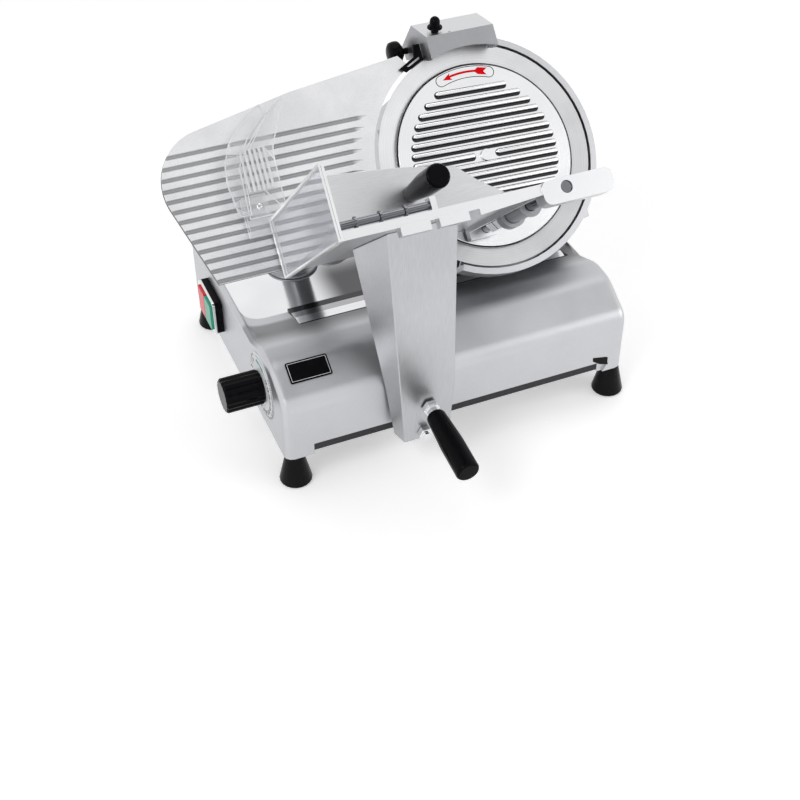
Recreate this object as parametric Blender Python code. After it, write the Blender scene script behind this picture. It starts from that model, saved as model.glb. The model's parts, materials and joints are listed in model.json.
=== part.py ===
"""Gravity-feed slicer: a tilted 250 mm disc blade over a cast base, with a sliding food carriage.

The machine frame has its origin on the floor under the base's front left corner: X runs along the
carriage's travel, Y to the rear and Z up. The blade frame has its origin at the blade's centre, on the
cutting plane: X is the same, Y runs up the slope of the blade and Z points out of it to the front.
"""
import math

import bmesh
import bpy
from mathutils import Matrix, Vector

SEAT = 0.0003
OVERRUN = 0.002
ROUND = 28
SMALL_ROUND = 16
MIDDLE_ROUND = 20
TINY_ROUND = 12
HEX = 6

# Base casting
BASE_LENGTH = 0.423
BASE_DEPTH = 0.347
BASE_WALL = 0.005
LOBE_Z = 0.043
SKIRT_Z = 0.058
CREASE_LOW_Z = 0.119
CREASE_HIGH_Y = 0.045
CREASE_HIGH_Z = 0.146
RIDGE_Y = 0.075
RIDGE_Z = 0.148
BEAM_BACK_Y = 0.112
RIM_Z = 0.134
DECK_Z = 0.118
DECK_FRONT_Y = 0.163
DECK_BACK_MARGIN = 0.012
DECK_BACK_Y = BASE_DEPTH - DECK_BACK_MARGIN
DECK_INSET = 0.012
DECK_RADIUS = 0.022
RIM_WIDTH = 0.005
REAR_ROUND = 0.012
CREASE_ROUND = 0.022
HIGH_ROUND = 0.040
RIDGE_ROUND = 0.030
END_ROUND = 0.010
LOBE_LENGTH = 0.033
SHADOW_STEP = 0.003
RAIL_BOTTOM_Z = 0.046
NOTCH_WIDTH = 0.012
NOTCH_RISE = 0.005
CORNER_BOSS_R = 0.0075
BOTTOM_COVER_Z = 0.044
BOTTOM_COVER_T = 0.0015
BOTTOM_COVER_FRONT_Y = 0.070

# Stainless strip between the beam and the deck
STRIP_LEFT_X = 0.063
STRIP_RIGHT_X = 0.405
STRIP_GROOVE_Y = 0.116
STRIP_FRONT_Y = 0.121
STRIP_STEP_LENGTH = 0.014
STRIP_TOP_Z = 0.129
STRIP_STEP = 0.0035

# Feet
FOOT_INSET_LEFT = 0.014
FOOT_INSET_RIGHT = 0.008
FOOT_FRONT_Y = 0.0146
FOOT_REAR_INSET = 0.019
FOOT_REAR_Y = BASE_DEPTH - FOOT_REAR_INSET
FOOT_BOTTOM_R = 0.0187
FOOT_TOP_R = 0.0095
FOOT_LIP = 0.004

# Blade frame
TILT = math.radians(42)
BLADE_X = 0.299
BLADE_Y = 0.137
BLADE_Z = 0.285

# Blade
BLADE_R = 0.125
BLADE_BEVEL_WIDTH = 0.011
BLADE_BEVEL_R = BLADE_R - BLADE_BEVEL_WIDTH
BLADE_BEVEL_DEPTH = 0.006
BLADE_RIM_WIDTH = 0.0205
BLADE_RIM_R = BLADE_R - BLADE_RIM_WIDTH
BLADE_RIM_OFF = 0.0025
BLADE_WEB_FRONT_OFF = 0.0055
BLADE_WEB_BACK_OFF = 0.0095
BLADE_HUB_R = 0.038
BLADE_HUB_OFF = 0.015
BLADE_BORE_R = 0.012
BLADE_ROUND = 64

# Blade cover
COVER_GAP = 0.001
COVER_R = BLADE_RIM_R - COVER_GAP
COVER_BACK_OFF = 0.0042
COVER_FACE_OFF = 0.0010
COVER_EDGE = 0.0012
COVER_TURN = math.radians(-2)
RIB_PITCH = 0.0106
RIB_FIELD_MARGIN = 0.0165
RIB_FIELD_R = COVER_R - RIB_FIELD_MARGIN
RIB_TOP_MARGIN = 0.0114
RIB_TOP_V = RIB_FIELD_R - RIB_TOP_MARGIN
RIB_BOTTOM_MARGIN = 0.035
RIB_BOTTOM_V = RIB_BOTTOM_MARGIN - RIB_FIELD_R
RIB_HALF_WIDTH = 0.0029
RIB_HEIGHT = 0.0030
RIB_SINK = 0.0006
RIB_GAP_HALF = 0.0125
RIB_SECTION_SHARES = ((-1, 0), (-0.6, 0.9), (0.6, 0.9), (1, 0))
RIB_END_SHARE = 0.35
COVER_BOSS_R = 0.0065
COVER_ROD_R = 0.0045

# Blade shaft, bearing and drive
SHAFT_R = 0.010
SHAFT_BORE_R = 0.0055
SHAFT_END_OFF = 0.050
SHAFT_FLANGE_R = 0.020
SHAFT_FLANGE_T = 0.004
RUNNING = 0.0004
BEARING_R = 0.023
BEARING_OFF = 0.0198
BEARING_LENGTH = 0.006
DRIVEN_PULLEY_R = 0.046
PULLEY_OFF = 0.035
PULLEY_WIDTH = 0.012
DRIVE_PULLEY_R = 0.014
MOTOR_X = 0.052
MOTOR_U = 0.048
BELT_T = 0.003
MOTOR_SHAFT_R = 0.006

# Guard ring and back plate
RING_GAP = 0.0025
RING_WALL = 0.007
RING_INNER_R = BLADE_R + RING_GAP
RING_OUTER_R = RING_INNER_R + RING_WALL
RING_FRONT_OFF = 0.0015
BACK_FRONT_OFF = 0.018
BACK_OFF = 0.022
RING_START = math.radians(-118)
RING_END = math.radians(115)
CUT_SIDE_R = 0.066
STONE_GAP_LEFT = 0.030
STONE_GAP_RIGHT = 0.026
STONE_GAP_DEPTH = 0.013
RING_ROUND = 40

# Rear housings
HOUSING_LEFT = -0.059
HOUSING_RIGHT = 0.115
HOUSING_FRONT_Y = 0.168
PEDESTAL_LOW_U = -0.092
PEDESTAL_TOP_DROP = 0.0545
PEDESTAL_TOP_U = RING_OUTER_R - PEDESTAL_TOP_DROP
PEDESTAL_BACK_OFF = 0.060
PEDESTAL_WALL = 0.006
MOTOR_COVER_TOP_U = 0.102
MOTOR_COVER_SHOULDER_OFF = 0.160
MOTOR_COVER_REACH = 0.057
MOTOR_COVER_REAR_Y = BASE_DEPTH + MOTOR_COVER_REACH
MOTOR_COVER_REAR_TOP_Z = 0.205
MOTOR_COVER_REAR_LOW_Z = 0.150
MOTOR_COVER_WALL = 0.004
MOTOR_COVER_ROUND = 0.010
VENT_COUNT = 7
VENT_WIDTH = 0.006
VENT_PITCH = 0.018
VENT_MARGIN = 0.012
HOUSING_SPLIT_Y = 0.205
MOTOR_R = 0.044
MOTOR_LENGTH = 0.110
MOTOR_EDGE = 0.004
MOTOR_SHAFT_DEPTH = 0.008
BELT_ROOM = 0.003
BELT_ROOM_OFF = 0.052

# Slice deflector
DEFLECTOR_FAR_X = 0.112
DEFLECTOR_NEAR_X = 0.0593
DEFLECTOR_FAR_OFF = 0.013
DEFLECTOR_NEAR_OFF = 0.040
DEFLECTOR_T = 0.0016
DEFLECTOR_HALF = 0.055
DEFLECTOR_STEPS = 8

# Gauge plate
GAUGE_ROUND_X = -0.304
GAUGE_ROUND_U = 0.035
GAUGE_ROUND_R = 0.058
GAUGE_ROUND_START = math.radians(100)
GAUGE_ROUND_END = math.radians(196)
GAUGE_BOTTOM_X = -0.330
GAUGE_BOTTOM_U = -0.0705
GAUGE_BLADE_GAP = 0.0045
GAUGE_ARC_R = BLADE_R + GAUGE_BLADE_GAP
GAUGE_ARC_START = math.radians(118)
GAUGE_SHOULDER_REACH = 0.0725
GAUGE_SHOULDER_DROP = 0.0165
GAUGE_CORNER_REACH = 0.0585
GAUGE_CORNER_DROP = 0.0015
GAUGE_SHOULDER_X = -GAUGE_ARC_R - GAUGE_SHOULDER_REACH
GAUGE_SHOULDER_U = GAUGE_ARC_R - GAUGE_SHOULDER_DROP
GAUGE_CORNER_X = GAUGE_CORNER_REACH - GAUGE_ARC_R
GAUGE_CORNER_U = GAUGE_ARC_R - GAUGE_CORNER_DROP
GAUGE_T = 0.008
GROOVE_COUNT = 13
GROOVE_PITCH = 0.01148
GROOVE_TOP_U = 0.0703
GROOVE_HALF = 0.0026
GROOVE_DEPTH = 0.0016
GROOVE_FLOOR_SHARE = 0.55
GROOVE_TIP_SHARE = 0.15
GROOVE_END_GAP = 0.014
GROOVE_POINT = 0.012

# Gauge slide
SLIDE_X = -0.200
SLIDE_U = -0.048
SLIDE_ROD_R = 0.009
SLIDE_BOSS_R = 0.016
SLIDE_FLANGE_R = 0.030
SLIDE_FLANGE_T = 0.005
SLIDE_BOSS_OFF = 0.045
POST_TOP_OFF = 0.076
POST_R = 0.0165
POST_FOOT_R = 0.032
POST_FOOT_T = 0.006
POST_FOOT_SHARE = 0.7
POST_BORE_TURN = math.radians(7.5)
SLIDE_ROD_END_OFF = 0.232
YOKE_COLLAR_R = 0.0145
YOKE_COLLAR_T = 0.010
YOKE_BAR_WIDTH = 0.004
YOKE_BAR_HEIGHT = 0.008
YOKE_CAM_GAP = 0.0015
YOKE_FRONT_Y = 0.062

# Thickness knob
KNOB_Y = 0.072
KNOB_Z = 0.097
KNOB_R = 0.020
KNOB_LENGTH = 0.045
KNOB_RIDGES = 18
KNOB_RIDGE = 0.0012
KNOB_EDGE = 0.002
SPINDLE_R = 0.006
CAM_R = 0.015
CAM_T = 0.006
CAM_X = 0.040
DIAL_R = 0.035
DIAL_T = 0.0015
DIAL_EDGE = 0.0005

# Badge plate on the beam's slope
BADGE_LEFT_X = 0.018
BADGE_WIDTH = 0.048
BADGE_START_SHARE = 0.47
BADGE_END_SHARE = 0.94
BADGE_T = 0.001

# Switch
SWITCH_SETBACK = 0.099
SWITCH_Y = BASE_DEPTH - SWITCH_SETBACK
SWITCH_Z = 0.088
SWITCH_LENGTH = 0.060
SWITCH_HEIGHT = 0.046
SWITCH_RADIUS = 0.006
SWITCH_BODY_T = 0.008
BEZEL_T = 0.003
BEZEL_BORDER = 0.005
BUTTON_PROUD = 0.0025
BUTTON_TRAVEL = 0.002
BUTTON_GAP = 0.0004
SWITCH_BACK_T = 0.018
SWITCH_BACK_INSET = 0.008

# Power inlet
GLAND_X = 0.060
GLAND_Z = 0.080
GLAND_R = 0.009
GLAND_LENGTH = 0.016
GLAND_BORE_R = 0.0035
GLAND_FLANGE_R = 0.0117
GLAND_TIP_R = 0.0072

# Carriage rails and slide
ROD_Y = 0.038
ROD_Z = 0.088
ROD_R = 0.010
GUIDE_Y = 0.060
GUIDE_Z = 0.060
GUIDE_SIZE = 0.006
CARRIAGE_X = 0.1558
SLIDE_BLOCK_HALF = 0.0225
BLOCK_FRONT_Y = 0.024
BLOCK_BACK_Y = 0.052
BLOCK_TOP_Z = 0.104
HOOK_Z = 0.037
HOOK_T = 0.008
HOOK_TOP_Z = 0.110
HOOK_BACK_Y = 0.012
HOOK_CHAMFER = 0.011
FORK_CLEAR = 0.001
FORK_PRONG = 0.009
FORK_OVERHANG = 0.002

# Arm
ARM_FACE_Y = -0.030
ARM_WALL = 0.004
ARM_BOTTOM_Z = 0.050
ARM_BEND_Z = 0.116
ARM_LEFT_BOTTOM_X = 0.1287
ARM_LEFT_TOP_X = 0.110
ARM_RIGHT_BOTTOM_X = 0.183
ARM_RIGHT_BEND_X = 0.188
ARM_RIGHT_TOP_X = 0.186
ARM_BOTTOM_DEPTH = 0.019
ARM_TOP_DEPTH = 0.050
ARM_LEFT_SPLAY = 0.018
ARM_BOTTOM_SPLAY = 0.005

# Handle and arm bolts
HANDLE_Z = 0.096
HANDLE_PITCH = math.radians(7.3)
HANDLE_NUT_R = 0.010
HANDLE_NUT_T = 0.006
HANDLE_NECK_R = 0.007
HANDLE_NECK_L = 0.008
HANDLE_R = 0.0135
HANDLE_START_R = 0.011
HANDLE_LENGTH = 0.087
HANDLE_EDGE = 0.003
HANDLE_X = 0.158
ARM_BOLT_X = 0.152
ARM_BOLT_Z = 0.060
ARM_BOLT_R = 0.009
ARM_BOLT_T = 0.007
ARM_BOLT_TIP = 0.0028

# Tray
TRAY_U = -0.072
TRAY_T = 0.004
TRAY_RIM = 0.009
TRAY_LEFT = -0.2575
TRAY_RIGHT = -0.046
TRAY_INNER_OFF = 0.006
TRAY_OUTER_OFF = 0.232
TRAY_RIM_T = 0.004
LUG_DROP = 0.0085
LUG_LEFTS = (-0.201, -0.162)
LUG_WIDTH = 0.030
LUG_T = 0.010
FLANGE_LEFT = -0.120
FLANGE_DROP = 0.006
FLANGE_T = 0.003
TRAY_EAR_RIGHT = 0.022
TRAY_EAR_OFF = 0.214
TRAY_EAR_LOW_U = -0.094
TRAY_EAR_TOP_U = -0.070
TRAY_EAR_RADIUS = 0.008
INNER_EAR_OFF = 0.016

# Side plate and wing guard
SIDE_T = 0.0035
SIDE_BOTTOM_U = -0.0805
SIDE_OUTER_U = -0.009
SIDE_INNER_U = -0.018
SIDE_OUTER_OFF = 0.236
WING_OFF = 0.016
WING_T = 0.003
WING_LOW_U = -0.014
WING_SIDE_X = -0.243
WING_SIDE_U = 0.030
WING_TIP_X = -0.215
WING_TIP_U = 0.107
WING_LEFT_X = -0.284
WING_LEFT_U = 0.007
WING_BULGE_POWER = 2.75
WING_RIM = 0.017
WING_RIM_LIFT = 0.008
WING_RIM_T = 0.0026
WING_RIM_START_U = -0.010
WING_RIM_TOP_U = 0.092
WING_RIM_SHARES = (0.12, 0.88)
WING_STEPS = 12
WING_RIBS = 6
WING_RIB_PITCH = 0.0052
WING_RIB_T = 0.0014
WING_RIB_LOW_U = 0.014
WING_RIB_TOP_U = 0.058
BRACKET_LOW_U = -0.032
BRACKET_TOP_U = 0.010
BRACKET_LEFT = -0.287

# Pusher
PUSHER_ROD_X = -0.0285
PUSHER_ROD_U = -0.080
PUSHER_ROD_R = 0.006
SLEEVE_R = 0.010
SLEEVE_START_OFF = 0.076
SLEEVE_END_OFF = 0.142
SLEEVE_WASHER_R = 0.0125
SLEEVE_WASHER_T = 0.0015
LOCK_NUT_R = 0.0105
LOCK_NUT_OFF = 0.040
LOCK_NUT_LENGTH = 0.0165
LOCK_NUT_GAP_OFF = 0.0025
PLATE_OFF = 0.056
PLATE_T = 0.003
PLATE_BOTTOM_U = -0.0705
PLATE_LEFT = -0.206
PLATE_LEFT_U = 0.008
PLATE_MID = -0.124
PLATE_MID_U = -0.001
PLATE_SHOULDER = -0.0636
PLATE_SHOULDER_U = -0.012
PLATE_CORNER = -0.0404
PLATE_CORNER_U = -0.0335
PLATE_RIGHT = -0.0137
PLATE_RIGHT_U = -0.0527
PLATE_RIGHT_LOW_U = -0.0655
HUB_RING_R = 0.0145
HUB_RING_OFF = 0.082
HUB_RING_T = 0.014
HUB_POST_WIDTH = 0.012
HUB_POST_TOP_U = -0.056
SPIKE_ROWS = 3
SPIKE_COLUMNS = 6
SPIKE_R = 0.0022
SPIKE_LENGTH = 0.009
SPIKE_LEFT = -0.186
SPIKE_PITCH_X = 0.022
SPIKE_LOW_U = -0.058
SPIKE_PITCH_U = 0.018
SPIKE_PLATE_T = 0.002
SPIKE_PLATE_MARGIN = 0.006
GRIP_X = -0.119
GRIP_U = -0.031
GRIP_R = 0.013
GRIP_NECK_R = 0.009
GRIP_LENGTH = 0.092
GRIP_EDGE = 0.003
GRIP_SWELL_SHARE = 0.55
TRAY_ROD_OFF = 0.200
TRAY_ROD_U = -0.0635
TRAY_ROD_R = 0.004
TRAY_ROD_END = -0.156
TRAY_ROD_COLLAR_R = 0.0062
TRAY_ROD_COLLAR_T = 0.002
TRAY_ROD_COLLARS = 3
TRAY_LUG_T = 0.006
TRAY_LUG_HALF = 0.007

# Sharpener
SHARP_LEFT = -0.043
SHARP_RIGHT = 0.038
SHARP_FRONT_OFF = 0.026
SHARP_LOW_RISE = 0.0255
SHARP_LOW_U = RING_OUTER_R - SHARP_LOW_RISE
SHARP_FACE_RISE = 0.0015
SHARP_FACE_U = RING_OUTER_R + SHARP_FACE_RISE
SHARP_RIDGE_OFF = -0.008
SHARP_RIDGE_RISE = 0.0255
SHARP_RIDGE_U = RING_OUTER_R + SHARP_RIDGE_RISE
SHARP_BACK_OFF = -0.050
SHARP_BACK_RISE = 0.0155
SHARP_BACK_U = RING_OUTER_R + SHARP_BACK_RISE
SHARP_BACK_LOW_RISE = 0.0015
SHARP_BACK_LOW_U = RING_OUTER_R - SHARP_BACK_LOW_RISE
SHARP_WALL = 0.003
SHARP_ARCH_INSET = 0.016
SHARP_ARCH_R = RING_OUTER_R - SHARP_ARCH_INSET
SHARP_RING_GAP = 0.0012
GUIDE_ROD_OFF = -0.0285
GUIDE_ROD_R = 0.004
GUIDE_ROD_LOW_REACH = 0.0505
GUIDE_ROD_LOW_U = RING_OUTER_R - GUIDE_ROD_LOW_REACH
GUIDE_ROD_TOP_REACH = 0.0155
GUIDE_ROD_TOP_U = RING_OUTER_R + GUIDE_ROD_TOP_REACH
GUIDE_SLEEVE_HALF = 0.0058
GUIDE_SLEEVE_LOW_REACH = 0.039
GUIDE_SLEEVE_LOW_U = RING_OUTER_R - GUIDE_SLEEVE_LOW_REACH
GUIDE_SLEEVE_TOP_REACH = 0.019
GUIDE_SLEEVE_TOP_U = RING_OUTER_R + GUIDE_SLEEVE_TOP_REACH
GUIDE_FOOT_HALF = 0.012
GUIDE_FOOT_LOW_REACH = 0.053
GUIDE_FOOT_LOW_U = RING_OUTER_R - GUIDE_FOOT_LOW_REACH
GUIDE_FOOT_TOP_REACH = 0.0425
GUIDE_FOOT_TOP_U = RING_OUTER_R - GUIDE_FOOT_TOP_REACH
STONE_REAR_R = 0.013
STONE_REAR_T = 0.007
STONE_REAR_X = 0.014
STONE_REAR_OFF = -0.012
STONE_FRONT_R = 0.008
STONE_FRONT_T = 0.006
STONE_FRONT_X = -0.014
STONE_FRONT_OFF = 0.006
STONE_CLEAR = 0.002
STONE_PIN_R = 0.003
PUSH_X = -0.028
PUSH_SETBACK = 0.0103
PUSH_HEIGHT = 0.0178
PUSH_FLANGE_R = 0.0085
PUSH_FLANGE_T = 0.0025
PUSH_R = 0.0058
PUSH_TRAVEL = 0.003
PUSH_STEM_R = 0.004
PUSH_STEM_L = 0.011
LOCK_KNOB_X = -0.057
LOCK_KNOB_REACH = 0.007
LOCK_KNOB_U = RING_OUTER_R + LOCK_KNOB_REACH
LOCK_KNOB_OFF = -0.042
LOCK_KNOB_R = 0.0135
LOCK_KNOB_T = 0.017
LOCK_KNOB_LOBES = 6
LOCK_KNOB_LOBE = 0.0012
LOCK_STUD_R = 0.0035

MATERIALS = {
    "aluminium": ((0.62, 0.63, 0.65), 0.42, 1.0),
    "polished": ((0.80, 0.81, 0.83), 0.12, 1.0),
    "blade_steel": ((0.74, 0.75, 0.77), 0.16, 1.0),
    "chrome": ((0.86, 0.87, 0.89), 0.07, 1.0),
    "stainless": ((0.70, 0.71, 0.73), 0.22, 1.0),
    "dark_steel": ((0.16, 0.165, 0.175), 0.40, 0.9),
    "black_plastic": ((0.012, 0.012, 0.013), 0.22, 0.0),
    "rubber": ((0.016, 0.016, 0.017), 0.55, 0.0),
    "white_print": ((0.85, 0.86, 0.88), 0.40, 0.0),
    "clear": ((0.86, 0.89, 0.92), 0.08, 0.0),
    "red": ((0.75, 0.03, 0.05), 0.25, 0.0),
    "green": ((0.01, 0.36, 0.20), 0.25, 0.0),
    "stone": ((0.30, 0.29, 0.28), 0.90, 0.0),
}


def clear_scene():
    for item in list(bpy.data.objects):
        bpy.data.objects.remove(item)


def material(name):
    """A Principled material for one kind of surface, made once."""
    found = bpy.data.materials.get(name)
    if found:
        return found
    colour, roughness, metallic = MATERIALS[name]
    made = bpy.data.materials.new(name)
    made.use_nodes = True
    shader = made.node_tree.nodes["Principled BSDF"]
    shader.inputs["Base Color"].default_value = (*colour, 1)
    shader.inputs["Roughness"].default_value = roughness
    shader.inputs["Metallic"].default_value = metallic
    made.diffuse_color = (*colour, 1)
    return made


def frame(name, parent=None, at=(0, 0, 0), turn=(0, 0, 0)):
    """An empty that carries pieces."""
    empty = bpy.data.objects.new(name, None)
    bpy.context.scene.collection.objects.link(empty)
    empty.parent = parent
    empty.location = at
    empty.rotation_euler = turn
    return empty


def piece(name, mesh, parent, finish, at=(0, 0, 0), turn=(0, 0, 0), sharp=math.radians(32)):
    """A named object from a bmesh, with its material and its place under a frame."""
    bmesh.ops.recalc_face_normals(mesh, faces=mesh.faces)
    data = bpy.data.meshes.new(name)
    mesh.to_mesh(data)
    mesh.free()
    data.shade_smooth()
    data.set_sharp_from_angle(angle=sharp)
    data.materials.append(material(finish))
    made = bpy.data.objects.new(name, data)
    bpy.context.scene.collection.objects.link(made)
    made.parent = parent
    made.location = at
    made.rotation_euler = turn
    return made


def combine(target, mesh, operation, turn=(0, 0, 0), at=(0, 0, 0)):
    """A Boolean on a piece, with the other shape placed in the piece's own frame."""
    name = f"{target.name}_{operation.lower()}_{len(target.modifiers)}"
    tool = piece(name, mesh, target, "dark_steel", at, turn)
    tool.hide_render = True
    tool.display_type = "WIRE"
    step = target.modifiers.new(operation.title(), "BOOLEAN")
    step.operation = operation
    step.solver = "EXACT"
    step.object = tool
    return target


def cut(target, mesh, **place):
    return combine(target, mesh, "DIFFERENCE", **place)


def unite(target, mesh, **place):
    return combine(target, mesh, "UNION", **place)


def prism(outline, low, high, along="Z"):
    """A closed outline pushed along one axis. Its points are the other two axes, in X, Y, Z order."""
    def point(a, b, c):
        return {"X": (c, a, b), "Y": (a, c, b), "Z": (a, b, c)}[along]
    mesh = bmesh.new()
    ends = [[mesh.verts.new(point(a, b, c)) for a, b in outline] for c in (low, high)]
    for ring in ends:
        mesh.faces.new(ring)
    count = len(outline)
    for index in range(count):
        following = (index + 1) % count
        mesh.faces.new((ends[0][index], ends[0][following], ends[1][following], ends[1][index]))
    bmesh.ops.recalc_face_normals(mesh, faces=mesh.faces)
    return mesh


def loft(rings):
    """Closed rings of equal counts joined in order, with flat end caps."""
    mesh = bmesh.new()
    loops = [[mesh.verts.new(place) for place in ring] for ring in rings]
    mesh.faces.new(loops[0])
    mesh.faces.new(loops[-1])
    count = len(loops[0])
    for lower, upper in zip(loops, loops[1:]):
        for index in range(count):
            following = (index + 1) % count
            mesh.faces.new((lower[index], lower[following], upper[following], upper[index]))
    bmesh.ops.recalc_face_normals(mesh, faces=mesh.faces)
    return mesh


def box(x, y, z):
    return prism([(x[0], y[0]), (x[1], y[0]), (x[1], y[1]), (x[0], y[1])], z[0], z[1])


def turned(profile, steps=ROUND):
    """A closed (radius, height) profile spun about Z."""
    mesh = bmesh.new()
    verts = [mesh.verts.new((radius, 0, height)) for radius, height in profile]
    edges = [mesh.edges.new(pair) for pair in zip(verts, verts[1:] + verts[:1])
             if pair[0].co.x or pair[1].co.x]
    bmesh.ops.spin(mesh, geom=verts + edges, cent=(0, 0, 0), axis=(0, 0, 1), angle=math.tau,
                   steps=steps, use_merge=True)
    bmesh.ops.remove_doubles(mesh, verts=mesh.verts, dist=SEAT / ROUND)
    bmesh.ops.recalc_face_normals(mesh, faces=mesh.faces)
    return mesh


def rod(radius, low, high, steps=SMALL_ROUND, edge=0):
    """A solid round bar along Z, with an optional chamfer at both ends."""
    if not edge:
        return turned([(0, low), (radius, low), (radius, high), (0, high)], steps)
    return turned([(0, low), (radius - edge, low), (radius, low + edge), (radius, high - edge),
                   (radius - edge, high), (0, high)], steps)


def tube(inner, outer, low, high, steps=SMALL_ROUND):
    return turned([(inner, low), (outer, low), (outer, high), (inner, high)], steps)


def arc(radius, start, end, steps, centre=(0, 0)):
    """Points on a circle from one angle to another, ends included."""
    angles = [start + (end - start) * index / steps for index in range(steps + 1)]
    return [(centre[0] + radius * math.cos(a), centre[1] + radius * math.sin(a)) for a in angles]


def rounded(x, y, radius, steps=4):
    """A rectangle with round corners, counter-clockwise."""
    left, right = x[0] + radius, x[1] - radius
    low, high = y[0] + radius, y[1] - radius
    points = []
    for quarter, centre in enumerate(((right, high), (left, high), (left, low), (right, low))):
        start = quarter * math.pi / 2
        points += arc(radius, start, start + math.pi / 2, steps, centre)
    return points


def soften(mesh, width, segments, keep):
    """Bevels the edges that keep() accepts."""
    edges = [edge for edge in mesh.edges if keep(edge)]
    bmesh.ops.bevel(mesh, geom=edges, offset=width, segments=segments, affect="EDGES",
                    profile=0.5, material=-1, clamp_overlap=True)
    return mesh


def slope_y(n, u):
    """Machine Y of a point of the blade frame."""
    return BLADE_Y - n * math.cos(TILT) + u * math.sin(TILT)


def slope_z(n, u):
    """Machine Z of a point of the blade frame."""
    return BLADE_Z + n * math.sin(TILT) + u * math.cos(TILT)


def slope_point(n, u):
    return (slope_y(n, u), slope_z(n, u))


def level_n(z, u):
    """How far out of the blade's plane a point at slope height u meets the level z."""
    return (z - BLADE_Z - u * math.cos(TILT)) / math.sin(TILT)


def filleted(before, corner, after, radius, steps=3):
    """Points that round one corner of an outline with an arc of the given radius."""
    here = Vector(corner)
    back = (Vector(before) - here).normalized()
    ahead = (Vector(after) - here).normalized()
    half = back.angle(ahead) / 2
    centre = here + (back + ahead).normalized() * (radius / math.sin(half))
    first = here + back * (radius / math.tan(half)) - centre
    last = here + ahead * (radius / math.tan(half)) - centre
    spread = first.angle(last)
    points = []
    for index in range(steps + 1):
        share = index / steps
        a = math.sin((1 - share) * spread) / math.sin(spread)
        b = math.sin(share * spread) / math.sin(spread)
        points.append(tuple(centre + first * a + last * b))
    return points


def base_outline():
    """The base's outer section, front to rear, from the lobe's foot round to the rear wall."""
    rear = arc(REAR_ROUND, math.pi / 2, 0, 4, (BASE_DEPTH - REAR_ROUND, RIM_Z - REAR_ROUND))
    foot, crease = (0, LOBE_Z), (0, CREASE_LOW_Z)
    high, ridge, back = (CREASE_HIGH_Y, CREASE_HIGH_Z), (RIDGE_Y, RIDGE_Z), (BEAM_BACK_Y, RIM_Z)
    front = [foot] + filleted(foot, crease, high, CREASE_ROUND)
    front += filleted(crease, high, ridge, HIGH_ROUND) + filleted(high, ridge, back, RIDGE_ROUND)
    return front + [back] + rear + [(BASE_DEPTH, LOBE_Z)]


def base_cavity():
    wall = BASE_WALL
    low = LOBE_Z - OVERRUN
    roof = DECK_Z - wall
    outline = [(wall, low), (wall, CREASE_LOW_Z - wall * 2), (CREASE_HIGH_Y, CREASE_HIGH_Z - wall * 2),
               (RIDGE_Y - wall, RIDGE_Z - wall), (BEAM_BACK_Y - wall, RIM_Z - wall * 2),
               (BEAM_BACK_Y - wall / 2, roof), (BASE_DEPTH - wall, roof), (BASE_DEPTH - wall, low)]
    return prism(outline, wall, BASE_LENGTH - wall, "X")


def deck_pocket():
    """The polished deck's recess, with walls that flare up to the rim."""
    rise = RIM_Z - DECK_Z
    share = (rise + OVERRUN) / rise
    left_flare = (DECK_INSET - RIM_WIDTH) * share
    front_flare = (DECK_FRONT_Y - BEAM_BACK_Y) * share
    rear_flare = (BASE_DEPTH - REAR_ROUND / 2 - DECK_BACK_Y) * share
    bottom = rounded((DECK_INSET, BASE_LENGTH - DECK_INSET), (DECK_FRONT_Y, DECK_BACK_Y), DECK_RADIUS)
    top = rounded((DECK_INSET - left_flare, BASE_LENGTH - DECK_INSET + left_flare),
                  (DECK_FRONT_Y - front_flare, DECK_BACK_Y + rear_flare), DECK_RADIUS)
    return loft([[(x, y, DECK_Z) for x, y in bottom], [(x, y, RIM_Z + OVERRUN) for x, y in top]])


def skirt_cut():
    """The slot along the front skirt's foot that the carriage's hook travels in."""
    right = BASE_LENGTH - LOBE_LENGTH
    low = LOBE_Z - OVERRUN
    outline = [(LOBE_LENGTH, low), (LOBE_LENGTH, SKIRT_Z), (right, SKIRT_Z),
               (right + NOTCH_RISE, SKIRT_Z + NOTCH_RISE), (right + NOTCH_WIDTH, SKIRT_Z + NOTCH_RISE),
               (right + NOTCH_WIDTH, SKIRT_Z - NOTCH_RISE), (right + NOTCH_RISE, low)]
    return prism(outline, -OVERRUN, SHADOW_STEP, "Y")


def housing_pad():
    """The raised pad at the deck's right rear that the pedestal and the motor cover stand on."""
    low = DECK_Z - BASE_WALL / 2
    behind = BASE_DEPTH - BASE_WALL / 2
    outline = [(HOUSING_FRONT_Y, low), (HOUSING_FRONT_Y, RIM_Z), (BASE_DEPTH - REAR_ROUND, RIM_Z),
               (behind, RIM_Z - REAR_ROUND), (behind, low)]
    return prism(outline, BLADE_X + HOUSING_LEFT, BASE_LENGTH - RIM_WIDTH / 2, "X")


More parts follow.
